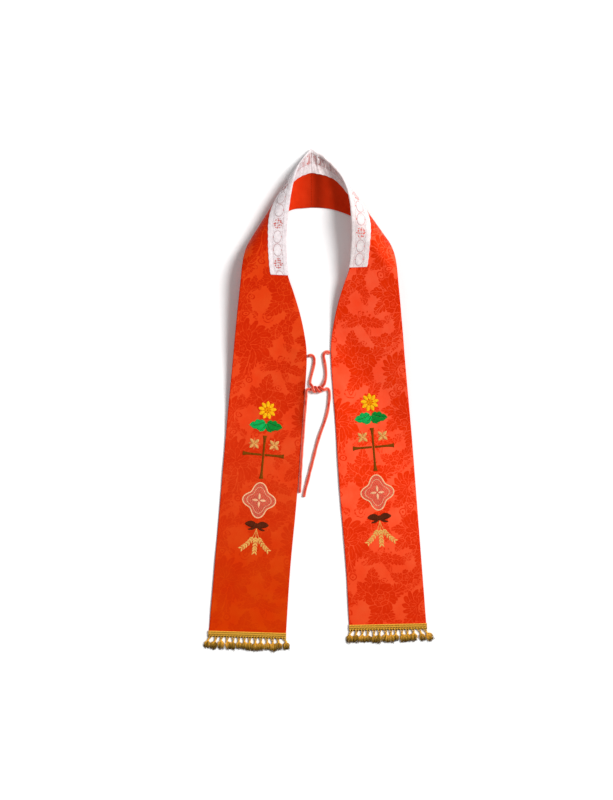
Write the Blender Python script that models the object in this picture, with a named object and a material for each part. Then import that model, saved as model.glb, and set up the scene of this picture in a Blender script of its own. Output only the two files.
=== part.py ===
"""Priest's stole, laid face up on a flat surface.

Two mirrored halves, each a damask face over a plain lining, meet at a seam at the centre of
the back. Each half runs straight up from its hem, rolls over at the side of the neck and comes
back lining side up, so the back of the neck lies on the surface. A strip of lace is folded over
the neck edge, a narrow tie comes out of each front edge, and a tasselled braid ends each hem.

X is across, Y runs from the hems to the neck, Z is up from the surface. Lengths are in
millimetres until to_metres().
"""
import math
from collections import namedtuple

import bmesh
import bpy
from mathutils import Vector

# Thicknesses, from the surface up
LINING = 1.0
FACE = 1.2
LACE = 1.0
GAP = 0.3                       # between pieces, at seams and between layers
HALF_CLOTH = (LINING + GAP + FACE) / 2

# Lace collar
LACE_OUTSIDE = 38.0             # how far it reaches down from the neck edge on the face
LACE_INSIDE = 50.0              # and on the lining
LACE_PITCH = 29.0               # one oval medallion
EYELET = 5.2                    # across an open eyelet, corner to corner
LACE_LIFT = 2.2                 # holds the back of the neck up, so the lace under it is clear

# Ties: narrow sewn tubes
TIE = 6.0                       # diameter
TIE_AT_LEFT = 600.0             # up the neck edge from the hem
TIE_AT_RIGHT = 590.0
KNOT_HALF = 14.0                # half the length of the twist where the ties cross
KNOT_Y = 23.0                   # its middle, which hangs below its ends
KNOT_SAG = 4.0
KNOT_TURNS = 1.5                # three crossings, as in the first half of a bow
KNOT_WIDE = 4.6                 # from its middle line to a tie's centre, on the floor
KNOT_HIGH = 3.5                 # and upward
ON_FLOOR = TIE / 2 + GAP        # height of a tie's centre where it lies on the surface

# Tasselled braid
BRAID_HEIGHT = 10.0
BRAID_THICK = 1.6
BRAID_OVER = 2.2                # how far the braid passes the hem
TASSELS = 14
NET_DROP = 12.0                 # crossed threads between braid and tassels
HEAD = 4.4                      # knot at the top of a tassel
LOCK = 15.0                     # length of a tassel below its knot
LOCKS = 5                       # strands of one tassel
LOCK_THICK = 1.9
NET_THICK = 1.5
TASSEL_SPREAD = 8.6

# The cut of one half, the same for both. A row is a line across the strip from its neck edge
# to its outer edge: how far up from the hem each end is, and how far in from the straight line
# of the outer edge. Steps is the number of sections made up to the next row.
Cut = namedtuple("Cut", "neck_at neck_in outer_at outer_in steps")
CUT = [
    Cut(10, 162, 0, 0, 1),          # hem
    Cut(150, 158, 150, -1, 1),
    Cut(300, 158, 300, -2, 1),
    Cut(450, 155, 450, -3, 2),
    Cut(560, 153.5, 560, -4, 2),
    Cut(610, 150, 610, -5, 2),      # widest, where the tie is sewn in
    Cut(650, 141, 648, -5.5, 2),
    Cut(690, 128, 686, -6, 2),
    Cut(730, 111, 726, -6, 2),
    Cut(766, 94, 762, -6, 2),       # lace begins
    Cut(800, 86, 794, -6, 3),
    Cut(840, 80, 830, -6, 3),
    Cut(880, 78, 866, -5, 3),
    Cut(920, 79, 898, -3, 3),
    Cut(960, 82, 932, -2, 3),
    Cut(1000, 85, 962, -5, 2),
    Cut(1030, 87, 984, -12, 2),
    Cut(1052, 89, 1003, -20, 0),    # centre of the back
]
LACE_FROM = 766.0

# How each half is laid: its outer hem corner, how far its outer edge leans in, a point on the
# outer side of the roll, how far the roll leans in, the roll's radius, the fall of the cloth
# in front of it and the radius of the sweep in which it meets the surface.
Lay = namedtuple("Lay", "side hem_x hem_y lean roll_x roll_y roll_lean roll fall sweep")
LEFT = Lay(-1, -228, -491, 5.3, -90, 412, 32.4, 23, 18, 200)
RIGHT = Lay(1, 229.5, -475.5, 4.8, 107.5, 388, 35.5, 29, 18, 200)

# Centre-back seam
SEAM_X = -13.0
SEAM_NECK_Y = 526.0
SEAM_OUTER_Y = 405.0
SEAM_RISE = 6.5                 # at the neck edge, above where the cloth rests
SEAM_RISE_REACH = 45.0
SEAM_BLEND = 90.0               # length over which a half settles to the seam

# Columns across a half, as distances from the neck edge, and then evenly to the outer edge
NECK_COLUMNS = (0, 9.5, 19, 28.5, LACE_OUTSIDE, LACE_INSIDE)
OUTER_COLUMNS = 6


def smooth(x):
    """0 below 0, 1 above 1, an even S between."""
    x = min(max(x, 0.0), 1.0)
    return x * x * (3 - 2 * x)


def catmull(points, i, f):
    """Point a fraction f along the smooth curve from points[i] to points[i + 1]."""
    a, b = points[max(i - 1, 0)], points[i]
    c, d = points[min(i + 1, len(points) - 1)], points[min(i + 2, len(points) - 1)]
    return 0.5 * (2 * b + (c - a) * f + (2 * a - 5 * b + 4 * c - d) * f ** 2
                  + (3 * b - a - 3 * c + d) * f ** 3)


def sections(first=0.0):
    """Lines across the flat half: (neck end, outer end), each as (in, up)."""
    neck = [Vector((row.neck_in, row.neck_at)) for row in CUT]
    outer = [Vector((row.outer_in, row.outer_at)) for row in CUT]
    lines = []
    for i, row in enumerate(CUT):
        for step in range(row.steps):
            f = step / row.steps
            lines.append((catmull(neck, i, f), catmull(outer, i, f)))
    lines.append((neck[-1], outer[-1]))
    return [line for line in lines if line[0].y > first - 0.5]


def columns(line):
    """Distances from the neck edge across one line."""
    width = (line[1] - line[0]).length
    rest = width - NECK_COLUMNS[-1]
    return list(NECK_COLUMNS) + [NECK_COLUMNS[-1] + rest * k / OUTER_COLUMNS
                                 for k in range(1, OUTER_COLUMNS + 1)]


def rolled(lay, q):
    """Where a point q past the roll's outer side goes: how far out, how high, and its normal.

    q grows round the roll towards the back of the neck and falls towards the front, which
    climbs down the slope and sweeps out on the surface.
    """
    radius, fall = lay.roll, math.radians(lay.fall)
    if q > radius * math.pi / 2:
        return -radius - (q - radius * math.pi / 2), 0.0, Vector((0, -1))
    turn = -q / radius
    if turn < math.pi / 2 + fall:
        out, high = radius * math.cos(turn) - radius, radius + radius * math.sin(turn)
        return out, high, Vector((math.cos(turn), math.sin(turn)))
    out = -radius * math.sin(fall) - radius
    high = radius + radius * math.cos(fall)
    left = -q - radius * (math.pi / 2 + fall)
    slope = (high - lay.sweep * (1 - math.cos(fall))) / math.sin(fall)
    if left < slope:
        return (out - left * math.cos(fall), high - left * math.sin(fall),
                Vector((-math.sin(fall), math.cos(fall))))
    out, left = out - slope * math.cos(fall), left - slope
    turn = fall - left / lay.sweep
    if turn > 0:
        return (out - lay.sweep * (math.sin(fall) - math.sin(turn)),
                lay.sweep * (1 - math.cos(turn)), Vector((-math.sin(turn), math.cos(turn))))
    return out - lay.sweep * (math.sin(fall) - fall) - left, 0.0, Vector((0, 1))


def slack(lay):
    """How much further out the flat cloth lies than its picture, which the roll takes up."""
    far = -1000.0
    return rolled(lay, far)[0] - far


def laid_flat(lay, point):
    """A point of the cut, as (in, up), in the plane of the laid front."""
    lean = math.radians(lay.lean)
    up = Vector((-lay.side * math.sin(lean), math.cos(lean)))
    inward = Vector((-lay.side * math.cos(lean), -math.sin(lean)))
    return Vector((lay.hem_x, lay.hem_y)) + inward * point.x + up * point.y


def unseamed(lay, line, distance):
    """Middle of the cloth and its face normal, before the half is drawn to the seam."""
    width = (line[1] - line[0]).length
    point = laid_flat(lay, line[0].lerp(line[1], distance / width))
    lean = math.radians(lay.roll_lean)
    along = Vector((-lay.side * math.sin(lean), math.cos(lean)))
    outward = Vector((lay.side * math.cos(lean), math.sin(lean)))
    start = Vector((lay.roll_x, lay.roll_y))
    q = (point - start).dot(outward) - slack(lay)
    out, high, facing = rolled(lay, q)
    spot = start + along * (point - start).dot(along) + outward * out
    lift = LACE_LIFT * smooth((line[0].y - 900) / 60) * smooth((LACE_OUTSIDE + 26 - distance) / 24)
    normal = Vector((outward.x * facing.x, outward.y * facing.x, facing.y))
    return Vector((spot.x, spot.y, HALF_CLOTH + high + lift)), normal


def seam_point(distance):
    """Centre-back seam: its place and face normal, a distance from the neck edge."""
    width = SEAM_NECK_Y - SEAM_OUTER_Y
    rise = SEAM_RISE * math.exp(-(distance / SEAM_RISE_REACH) ** 2)
    steep = 2 * distance * rise / SEAM_RISE_REACH ** 2
    place = Vector((SEAM_X, SEAM_NECK_Y - min(distance, width), HALF_CLOTH + rise))
    return place, Vector((0, steep, -1)).normalized()


def cloth(lay, line, distance):
    """Middle of the laid cloth and its face normal, a distance from the neck edge."""
    place, normal = unseamed(lay, line, distance)
    last = sections()[-1]
    pull = smooth(1 - (last[0].y - line[0].y) / SEAM_BLEND)
    if pull <= 0:
        return place, normal
    last_width = (last[1] - last[0]).length
    seam, seam_normal = seam_point(distance * (SEAM_NECK_Y - SEAM_OUTER_Y) / last_width)
    place = place + (seam - unseamed(lay, last, distance)[0]) * pull
    place.x += lay.side * GAP / 2 * pull
    return place, normal.lerp(seam_normal, pull).normalized()


def to_metres(vectors):
    return [v * 0.001 for v in vectors]


def finish(name, mesh, material):
    mesh.shade_smooth()
    mesh.set_sharp_from_angle(angle=math.radians(40))
    mesh.materials.append(material)
    thing = bpy.data.objects.new(name, mesh)
    bpy.context.collection.objects.link(thing)
    return thing


def solid(name, points, faces, material):
    """One closed body from points in millimetres."""
    mesh = bpy.data.meshes.new(name)
    mesh.from_pydata(to_metres(points), [], faces)
    form = bmesh.new()
    form.from_mesh(mesh)
    bmesh.ops.recalc_face_normals(form, faces=form.faces)
    form.to_mesh(mesh)
    form.free()
    return finish(name, mesh, material)


def paint(name, colour, roughness, metallic=0.0):
    material = bpy.data.materials.new(name)
    material.use_nodes = True
    shader = material.node_tree.nodes["Principled BSDF"]
    shader.inputs["Base Color"].default_value = (*colour, 1)
    shader.inputs["Roughness"].default_value = roughness
    shader.inputs["Metallic"].default_value = metallic
    return material


def wall(name, upper, lower, material, crossed=lambda row, col: False):
    """Closed wall between two grids of points.

    Every layer of cloth is split along the same diagonals, near the line of the roll, so that
    layers stay parallel. Cells that are crossed have their columns numbered the other way.
    """
    rows, cols = len(upper), len(upper[0])
    points = [p for grid in (upper, lower) for row in grid for p in row]

    def at(layer, row, col):
        return layer * rows * cols + row * cols + col

    faces = []
    for row in range(rows - 1):
        for col in range(cols - 1):
            for layer in (0, 1):
                a, b = at(layer, row, col), at(layer, row, col + 1)
                c, d = at(layer, row + 1, col), at(layer, row + 1, col + 1)
                faces += [(a, b, d), (a, d, c)] if crossed(row, col) else [(a, b, c), (b, d, c)]
    rim = [(0, c) for c in range(cols)] + [(r, cols - 1) for r in range(1, rows)]
    rim += [(rows - 1, c) for c in range(cols - 2, -1, -1)] + [(r, 0) for r in range(rows - 2, 0, -1)]
    for here, there in zip(rim, rim[1:] + rim[:1]):
        a, b, c, d = at(0, *here), at(0, *there), at(1, *there), at(1, *here)
        faces += [(a, b, c), (a, c, d)]
    return solid(name, points, faces, material)


def layer(name, lay, low, high, material):
    """A cloth layer of one half, between two offsets from the middle of the cloth."""
    upper, lower = [], []
    for line in sections():
        spots = [cloth(lay, line, distance) for distance in columns(line)]
        upper.append([place + normal * high for place, normal in spots])
        lower.append([place + normal * low for place, normal in spots])
    return wall(name, upper, lower, material)


def lace_ring(lay, line):
    """Outer and inner outline of the folded lace at one line, from outside leaf to inside."""
    near, far = HALF_CLOTH + GAP, HALF_CLOTH + GAP + LACE
    skin, under = [], []
    for distance in reversed([d for d in NECK_COLUMNS if d <= LACE_OUTSIDE]):
        place, normal = cloth(lay, line, distance)
        skin.append(place + normal * far)
        under.append(place + normal * near)
    edge, normal = cloth(lay, line, 0)
    outward = edge - cloth(lay, line, NECK_COLUMNS[1])[0]
    outward = (outward - normal * outward.dot(normal)).normalized()
    for turn in (45, 90, 135):
        way = normal * math.cos(math.radians(turn)) + outward * math.sin(math.radians(turn))
        skin.append(edge + way * far)
        under.append(edge + way * near)
    for distance in NECK_COLUMNS:
        place, normal = cloth(lay, line, distance)
        skin.append(place - normal * far)
        under.append(place - normal * near)
    return skin, under


def lace_collar(material):
    """Lace folded over the neck edge in one strip, with eyelets cut through."""
    left = [lace_ring(LEFT, line) for line in sections(LACE_FROM)]
    right = [lace_ring(RIGHT, line) for line in sections(LACE_FROM)]
    seam = [[a.lerp(b, 0.5) for a, b in zip(*pair)] for pair in zip(left[-1], right[-1])]
    rings = left[:-1] + [seam] + right[-2::-1]
    edge = len([d for d in NECK_COLUMNS if d <= LACE_OUTSIDE])

    def crossed(row, col):
        return (col < edge) == (row < len(left) - 1)

    collar = wall("lace_collar", [ring[0] for ring in rings], [ring[1] for ring in rings],
                  material, crossed)
    holes = eyelets()
    cut = collar.modifiers.new("eyelets", "BOOLEAN")
    cut.operation = "DIFFERENCE"
    cut.object = holes
    return collar


def prism(centre, axis, along, across, half, corners=6):
    """Points and faces of a straight cutter through a wall."""
    side = axis.cross(along).normalized()
    along = side.cross(axis).normalized()
    points = []
    for reach in (-half, half):
        for k in range(corners):
            turn = 2 * math.pi * (k + 0.5) / corners
            points.append(centre + axis * reach
                          + (along * math.cos(turn) + side * math.sin(turn)) * across / 2)
    faces = [tuple(range(corners)), tuple(range(2 * corners - 1, corners - 1, -1))]
    faces += [(k, k + corners, (k + 1) % corners + corners, (k + 1) % corners)
              for k in range(corners)]
    return points, faces


def line_at(up):
    """The line across the cut whose neck end is a distance up from the hem."""
    lines = sections()
    for low, high in zip(lines, lines[1:]):
        if low[0].y <= up <= high[0].y:
            f = (up - low[0].y) / (high[0].y - low[0].y)
            return low[0].lerp(high[0], f), low[1].lerp(high[1], f)
    return lines[-1]


def joined(name, pieces, material):
    """Several closed shapes, each (points, faces), as one mesh object."""
    points, faces = [], []
    for shape_points, shape_faces in pieces:
        base = len(points)
        points += shape_points
        faces += [tuple(base + i for i in face) for face in shape_faces]
    return solid(name, points, faces, material)


def eyelets():
    """Cutters for the open eyelets: two to a medallion on each leaf that shows."""
    middle = HALF_CLOTH + GAP + LACE / 2
    spots = []
    first = CUT[-1].neck_at - LACE_PITCH / 2
    for repeat in range(9):
        up = first - repeat * LACE_PITCH
        spots += [(up, 12.0, 1), (up - LACE_PITCH * 0.45, 25.0, 1)]
        if repeat < 4:
            spots += [(up, 14.0, -1), (up - LACE_PITCH * 0.45, 33.0, -1)]
    pieces = []
    for lay in (LEFT, RIGHT):
        for up, distance, leaf in spots:
            if up < LACE_FROM + 8:
                continue
            line = line_at(up)
            place, normal = cloth(lay, line, distance)
            further = cloth(lay, line, distance + 3)[0]
            pieces.append(prism(place + normal * leaf * middle, normal, further - place,
                                EYELET, LACE / 2 + GAP * 0.7))
    holes = joined("eyelet_cutters", pieces, None)
    holes.hide_render = True
    holes.display_type = "WIRE"
    return holes


def tie_exit(lay, up):
    """Where a tie leaves the neck edge, just clear of it."""
    line = line_at(up)
    edge = cloth(lay, line, 0)[0]
    inward = (edge - cloth(lay, line, NECK_COLUMNS[1])[0]).normalized()
    return edge + inward * TIE * 0.35 + Vector((0, 0, ON_FLOOR - HALF_CLOTH))


def knot_strand(start):
    """One tie's way through the twist from its left end, start half-turns in."""
    points = []
    steps = int(KNOT_TURNS * 8)
    for k in range(steps + 1):
        turn = 2 * math.pi * KNOT_TURNS * k / steps + math.pi * start
        x = KNOT_HALF * (2 * k / steps - 1)
        middle = Vector((x, KNOT_Y + KNOT_SAG * (x / KNOT_HALF) ** 2, ON_FLOOR + KNOT_HIGH))
        aside = Vector((-2 * KNOT_SAG * x / KNOT_HALF ** 2, 1, 0)).normalized()
        points.append(middle + aside * math.cos(turn) * KNOT_WIDE
                      + Vector((0, 0, math.sin(turn) * KNOT_HIGH)))
    return points


def on_floor(*pairs):
    return [Vector((x, y, ON_FLOOR)) for x, y in pairs]


def lifted(*places):
    """Places over the floor, each with how far the tie is lifted there."""
    return [Vector((x, y, ON_FLOOR + lift)) for x, y, lift in places]


def tie_routes():
    """Route points of both ties, from the neck edge through the twist to the free end."""
    left = [tie_exit(LEFT, TIE_AT_LEFT)]
    left += on_floor((-14.4, 95), (-9, 93), (-6.2, 87.6), (-6.3, 79), (-8.2, 69), (-10.4, 60),
                     (-12.6, 51))
    left += lifted((-14.4, 43.5, 0.1), (-15, 36.6, 1.0))
    left += knot_strand(0)
    left += lifted((19.4, 24.6, 1.2), (22.8, 23.8, 0.3))
    left += on_floor((25, 20.2), (25.7, 14), (25.4, 5), (24.2, -7), (21.8, -22), (18, -37),
                     (12.6, -53), (6.6, -69), (1.2, -86), (-3.6, -104), (-8.6, -124), (-14, -145),
                     (-19.6, -167), (-24.6, -186), (-28, -203))
    right = [tie_exit(RIGHT, TIE_AT_RIGHT)]
    right += on_floor((20.8, 101.8), (15.6, 99.6), (13.4, 94), (14.6, 86), (16.4, 76), (17.8, 66),
                      (18.4, 57))
    right += lifted((18, 48, 1.1), (16.6, 40.8, 3.6), (14.7, 34.8, 5.2))
    right += list(reversed(knot_strand(1)))
    right += lifted((-18.6, 23.6, 5.0), (-20.8, 22.8, 5.9), (-22.5, 20.6, 5.7), (-23.3, 17, 4.4),
                    (-23.4, 12.6, 2.6), (-23.5, 7, 0.8))
    right += on_floor((-24.1, -4), (-25.1, -15), (-26.4, -30), (-27.9, -50), (-29.6, -72),
                      (-31.2, -94), (-32.7, -116), (-34.1, -138), (-35.3, -160), (-36.2, -178),
                      (-36.9, -194))
    return {"tie_left": left, "tie_right": right}


def tie(name, route, material):
    """A tube along a smooth curve through the route, a point every two diameters or less."""
    points = []
    for i in range(len(route) - 1):
        count = max(1, round((route[i + 1] - route[i]).length / (2 * TIE)))
        points += [catmull(route, i, k / count) for k in range(count)]
    points.append(route[-1])
    curve = bpy.data.curves.new(name, "CURVE")
    curve.dimensions = "3D"
    curve.bevel_depth = TIE / 2 * 0.001
    curve.bevel_resolution = 2
    curve.use_fill_caps = True
    spline = curve.splines.new("POLY")
    spline.points.add(len(points) - 1)
    for knot, point in zip(spline.points, to_metres(points)):
        knot.co = (*point, 1)
    curve.materials.append(material)
    thing = bpy.data.objects.new(name, curve)
    bpy.context.collection.objects.link(thing)


def strand(start, end, start_across, end_across, turn=0.0, sides=3):
    """A tapered strand of three or four sides."""
    way = (end - start).normalized()
    side = way.cross(Vector((0, 0, 1))).normalized()
    up = side.cross(way)
    points = []
    for centre, across in ((start, start_across), (end, end_across)):
        for k in range(sides):
            angle = turn + 2 * math.pi * k / sides
            points.append(centre + (side * math.cos(angle) + up * math.sin(angle)) * across / 2)
    faces = [tuple(range(sides)), tuple(range(2 * sides - 1, sides - 1, -1))]
    faces += [(k, k + sides, (k + 1) % sides + sides, (k + 1) % sides) for k in range(sides)]
    return points, faces


def fringe(lay, material):
    """Braid on the hem, crossed threads below it and a row of tassels, in one body."""
    hem = sections()[0]
    outer, neck = cloth(lay, hem, (hem[1] - hem[0]).length)[0], cloth(lay, hem, 0)[0]
    across = (neck - outer).normalized()
    down = Vector((across.y, -across.x, 0)) * -lay.side
    width = (neck - outer).length
    braid_z = 2 * HALF_CLOTH + GAP

    def spot(along, drop, z):
        return outer + across * along + down * drop + Vector((0, 0, z - HALF_CLOTH))

    def box(low, high):
        corners = [spot(x, y, z) for z in (low[2], high[2]) for y in (low[1], high[1])
                   for x in (low[0], high[0])]
        return corners, [(0, 1, 3, 2), (4, 6, 7, 5), (0, 4, 5, 1), (2, 3, 7, 6), (0, 2, 6, 4),
                         (1, 5, 7, 3)]

    pieces = [box((-0.6, BRAID_OVER - BRAID_HEIGHT, braid_z),
                  (width + 0.6, BRAID_OVER, braid_z + BRAID_THICK))]
    pitch = width / TASSELS
    for i in range(TASSELS):
        middle = (i + 0.5) * pitch
        lean = (2 * middle / width - 1) ** 3
        uneven = math.sin(5.1 * i + lay.side)
        head = spot(middle + 4.5 * lean, BRAID_OVER + NET_DROP + 0.6 * uneven, 2.9)
        for go in (-1, 1):
            root = spot(middle + go * pitch * 0.46, BRAID_OVER - 0.9, braid_z + BRAID_THICK * 0.52)
            pieces.append(strand(root, head, NET_THICK, NET_THICK, 0.4 + go))
        way = (down + across * (0.3 * lean + 0.05 * uneven)).normalized()
        aside = Vector((-way.y, way.x, 0))
        rise = Vector((0, 0, 1))
        pieces.append(strand(head - way * HEAD * 0.4 + rise * 0.1, head + way * HEAD * 0.7,
                             HEAD, HEAD * 0.9, 0.2, 4))
        for k in range(LOCKS):
            fan = (k + 0.5) / LOCKS * 2 - 1
            long = LOCK * (1 - 0.08 * fan * fan + 0.05 * math.sin(3.7 * k + 2.3 * i))
            root = head + aside * fan * HEAD * 0.33 + way * HEAD * 0.35
            low = 1.35 + 0.5 * (k % 2)
            tip = head + aside * fan * TASSEL_SPREAD / 2 + way * (HEAD * 0.5 + long)
            tip.z = low
            pieces.append(strand(root, tip, LOCK_THICK, LOCK_THICK * 0.8, 0.5 + k))
    name = "fringe_left" if lay.side < 0 else "fringe_right"
    body = joined(name, pieces, material)
    fuse(body)


def fuse(body):
    """Makes one body of shapes that run into each other."""
    helper = bpy.data.meshes.new(body.name + "_nothing")
    nothing = bpy.data.objects.new(body.name + "_nothing", helper)
    bpy.context.collection.objects.link(nothing)
    nothing.hide_render = True
    nothing.display_type = "WIRE"
    union = body.modifiers.new("fuse", "BOOLEAN")
    union.operation = "UNION"
    union.use_self = True
    union.object = nothing


def build():
    for thing in list(bpy.data.objects):
        bpy.data.objects.remove(thing, do_unlink=True)
    damask = paint("damask", (0.80, 0.04, 0.008), 0.45)
    plain = paint("lining", (0.72, 0.045, 0.012), 0.5)
    lace = paint("lace", (0.85, 0.78, 0.78), 0.8)
    gold = paint("gold", (0.60, 0.32, 0.05), 0.45, 0.3)
    rouleau = paint("rouleau", (0.75, 0.04, 0.01), 0.5)
    for lay, name in ((LEFT, "left"), (RIGHT, "right")):
        layer("face_" + name, lay, HALF_CLOTH - FACE, HALF_CLOTH, damask)
        layer("lining_" + name, lay, -HALF_CLOTH, -HALF_CLOTH + LINING, plain)
        fringe(lay, gold)
    lace_collar(lace)
    for name, route in tie_routes().items():
        tie(name, route, rouleau)


build()
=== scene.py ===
"""Looks of a priest's stole, laid face up on a white floor.

X is across, Y runs from the hems to the neck, Z is up from the floor. Lengths are in
millimetres until they go into a mesh. The floor lies at 0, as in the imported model.
"""
import math
from collections import namedtuple

import bpy
import numpy as np
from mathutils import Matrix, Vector


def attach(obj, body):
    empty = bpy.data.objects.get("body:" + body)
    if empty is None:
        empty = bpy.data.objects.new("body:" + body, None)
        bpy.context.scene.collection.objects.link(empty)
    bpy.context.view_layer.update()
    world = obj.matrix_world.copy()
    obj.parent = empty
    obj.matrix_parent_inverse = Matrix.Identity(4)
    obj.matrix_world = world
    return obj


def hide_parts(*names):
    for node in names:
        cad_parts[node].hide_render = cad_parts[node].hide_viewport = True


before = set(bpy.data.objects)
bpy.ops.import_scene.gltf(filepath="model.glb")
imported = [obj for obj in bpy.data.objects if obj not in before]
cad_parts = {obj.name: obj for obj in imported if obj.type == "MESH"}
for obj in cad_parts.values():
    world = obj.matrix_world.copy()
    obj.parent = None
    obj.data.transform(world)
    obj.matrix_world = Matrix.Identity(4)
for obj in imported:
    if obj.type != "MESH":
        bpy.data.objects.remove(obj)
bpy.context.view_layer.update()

# ------------------------------------------------------------------ camera, floor and light
# The stole is looked at from straight above. The floor is a plain white board, and one broad
# lamp high to the upper right, with white all round, leaves soft shadows to the lower left.
MM = 0.001
FLOOR_SEEN = 1680.0             # length of floor in view, along the picture's long side
CAMERA_UP = 4000.0
CAMERA_OVER = (-22.5, 1.0)
SENSOR = 36.0
FLOOR_SIDE = 9000.0
BELOW = 0.4                     # floor under the cloth, so that the two don't coincide
LAMP_FROM = (0.58, 0.26, 0.77)
LAMP_SPREAD = 24.0              # degrees across, as seen from the floor
LAMP_POWER = 3.15
ALL_ROUND = 0.40

scene = bpy.context.scene
scene.view_settings.view_transform = "Standard"

camera_data = bpy.data.cameras.new("camera")
camera_data.sensor_width = SENSOR
camera_data.lens = SENSOR * CAMERA_UP / FLOOR_SEEN
camera = bpy.data.objects.new("camera", camera_data)
camera.location = [v * MM for v in (*CAMERA_OVER, CAMERA_UP)]
scene.collection.objects.link(camera)
scene.camera = camera


class Wire:
    """A socket of a material, for Python arithmetic: each step adds its Math node."""

    def __init__(self, tree, socket=None):
        self.tree = tree
        self.socket = socket

    def node(self, kind, settings=None, inputs=None, output=0):
        """Adds a node: its settings first, then the values or links of its sockets."""
        made = self.tree.nodes.new("ShaderNode" + kind)
        for name, value in (settings or {}).items():
            setattr(made, name, value)
        for name, value in (inputs or {}).items():
            if isinstance(value, Wire):
                self.tree.links.new(value.socket, made.inputs[name])
            else:
                made.inputs[name].default_value = value
        return Wire(self.tree, made.outputs[output] if made.outputs else None)

    def other(self, output):
        return Wire(self.tree, self.socket.node.outputs[output])

    def math(self, operation, *values):
        return self.node("Math", {"operation": operation}, dict(enumerate(values)))

    def __add__(self, value):
        return self.math("ADD", self, value)

    def __sub__(self, value):
        return self.math("SUBTRACT", self, value)

    def __rsub__(self, value):
        return self.math("SUBTRACT", value, self)

    def __mul__(self, value):
        return self.math("MULTIPLY", self, value)

    def __pow__(self, value):
        return self.math("POWER", self, value)

    def __abs__(self):
        return self.math("ABSOLUTE", self)

    __radd__ = __add__
    __rmul__ = __mul__

    def least(self, value):
        return self.math("MINIMUM", self, value)

    def most(self, value):
        return self.math("MAXIMUM", self, value)

    def sine(self):
        return self.math("SINE", self)

    def cosine(self):
        return self.math("COSINE", self)

    def step(self, low, high):
        """0 at low, 1 at high, with a soft S between."""
        return self.node("MapRange", {"interpolation_type": "SMOOTHSTEP"},
                         {0: self, 1: low, 2: high, 3: 0.0, 4: 1.0})

    def blend(self, first, second, kind="MIX"):
        """Colour first where this is 0 and second where it is 1."""
        return self.node("Mix", {"data_type": "RGBA", "blend_type": kind},
                         {0: self, 6: first, 7: second}, 2)

    def noise(self, place, size, detail=2.0):
        """Soft random field from 0 to 1, in spots of about a size."""
        return self.node("TexNoise", {"noise_dimensions": "3D"},
                         {"Vector": place, "Scale": 1 / size, "Detail": detail})

    def scaled(self, place, x, y, z):
        return self.node("VectorMath", {"operation": "MULTIPLY"}, {0: place, 1: (x, y, z)})

    def attribute(self, name, output=1):
        """A mesh's own values at its points: a vector, or output 2 for a number."""
        return self.node("Attribute", {"attribute_name": name}, output=output)

    def parts(self):
        """The three numbers of a vector."""
        first = self.node("SeparateXYZ", None, {0: self})
        return first, first.other(1), first.other(2)

    def bump(self, height, depth, strength=1.0):
        """Normal for a height in millimetres."""
        return self.node("Bump", None, {"Height": height * MM, "Distance": depth,
                                        "Strength": strength})

    def surface(self, **sockets):
        """Ends the material in its shader, with socket names' spaces as underscores."""
        named = {name.replace("_", " "): value for name, value in sockets.items()}
        shader = self.node("BsdfPrincipled", None, named)
        self.node("OutputMaterial", None, {0: shader})


def new_material(name):
    """An empty material and the wire that its nodes start from."""
    material = bpy.data.materials.new(name)
    material.use_nodes = True
    material.node_tree.nodes.clear()
    return material, Wire(material.node_tree)


def colour(red, green, blue):
    """A colour as a picture gives it, 0 to 255, in the linear values that a shader takes."""
    def linear(value):
        value = value / 255
        return value / 12.92 if value < 0.04045 else ((value + 0.055) / 1.055) ** 2.4
    return (linear(red), linear(green), linear(blue), 1.0)


half = FLOOR_SIDE / 2 * MM
floor_mesh = bpy.data.meshes.new("floor")
floor_mesh.from_pydata([(-half, -half, -BELOW * MM), (half, -half, -BELOW * MM),
                        (half, half, -BELOW * MM), (-half, half, -BELOW * MM)], [], [(0, 1, 2, 3)])
board, start = new_material("white_board")
place = start.node("TexCoord", output=3)
mottle = start.noise(start.scaled(place, 1 / MM, 1 / MM, 1 / MM), 1.6, 4.0)
start.surface(Base_Color=mottle.blend(colour(246, 246, 246), colour(251, 251, 251)),
              Roughness=0.85, Specular_IOR_Level=0.1)
floor_mesh.materials.append(board)
floor = bpy.data.objects.new("floor", floor_mesh)
scene.collection.objects.link(floor)

world = bpy.data.worlds.new("white_all_round")
world.use_nodes = True
world.node_tree.nodes["Background"].inputs["Color"].default_value = (1, 1, 1, 1)
world.node_tree.nodes["Background"].inputs["Strength"].default_value = ALL_ROUND
scene.world = world
lamp_data = bpy.data.lights.new("lamp", "SUN")
lamp_data.angle = math.radians(LAMP_SPREAD)
lamp_data.energy = LAMP_POWER
lamp = bpy.data.objects.new("lamp", lamp_data)
lamp.rotation_mode = "QUATERNION"
lamp.rotation_quaternion = Vector(LAMP_FROM).to_track_quat("Z", "Y")
scene.collection.objects.link(lamp)

# ------------------------------------------------------------------ ties
# Two narrow tubes of the red satin, sewn along one side and turned, 6 mm across. Each comes out
# of the seam at a front edge, and the two cross in a half knot before they hang down.
TIE = 6.0
TIE_STEP = 1.2                  # length of tube between two rings of points
TIE_SIDES = 20
TIE_FLAT = 0.86                 # its height for its width
TIE_RUMPLE = 0.16               # depth of its cross wrinkles
TIE_END = 3.0                   # length in which a tube closes to its folded end
TIE_SEAM = 0.35                 # depth of the sewn groove along it,
GROOVE = 0.22                   # half the width of that groove, as an angle,
SEAM_TURN = 0.25                # and where it runs, in turns from the tube's side
TIE_WIDE = 0.09                 # it lies a little flat, wider than it is high,
TIE_WIDENS = 0.09               # and unevenly so,
TIE_EVEN = 20.0                 # but for this length before its end
WRINKLES = 1.9                  # turn of the wrinkles' wave in each millimetre
WRINKLE_PATCHES = 0.23          # and of the slower wave that they come and go in
SATIN_LINES = 0.45              # between the lines of its weave
SQUEEZED = 0.6                  # share of its height that a pressed end loses
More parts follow.
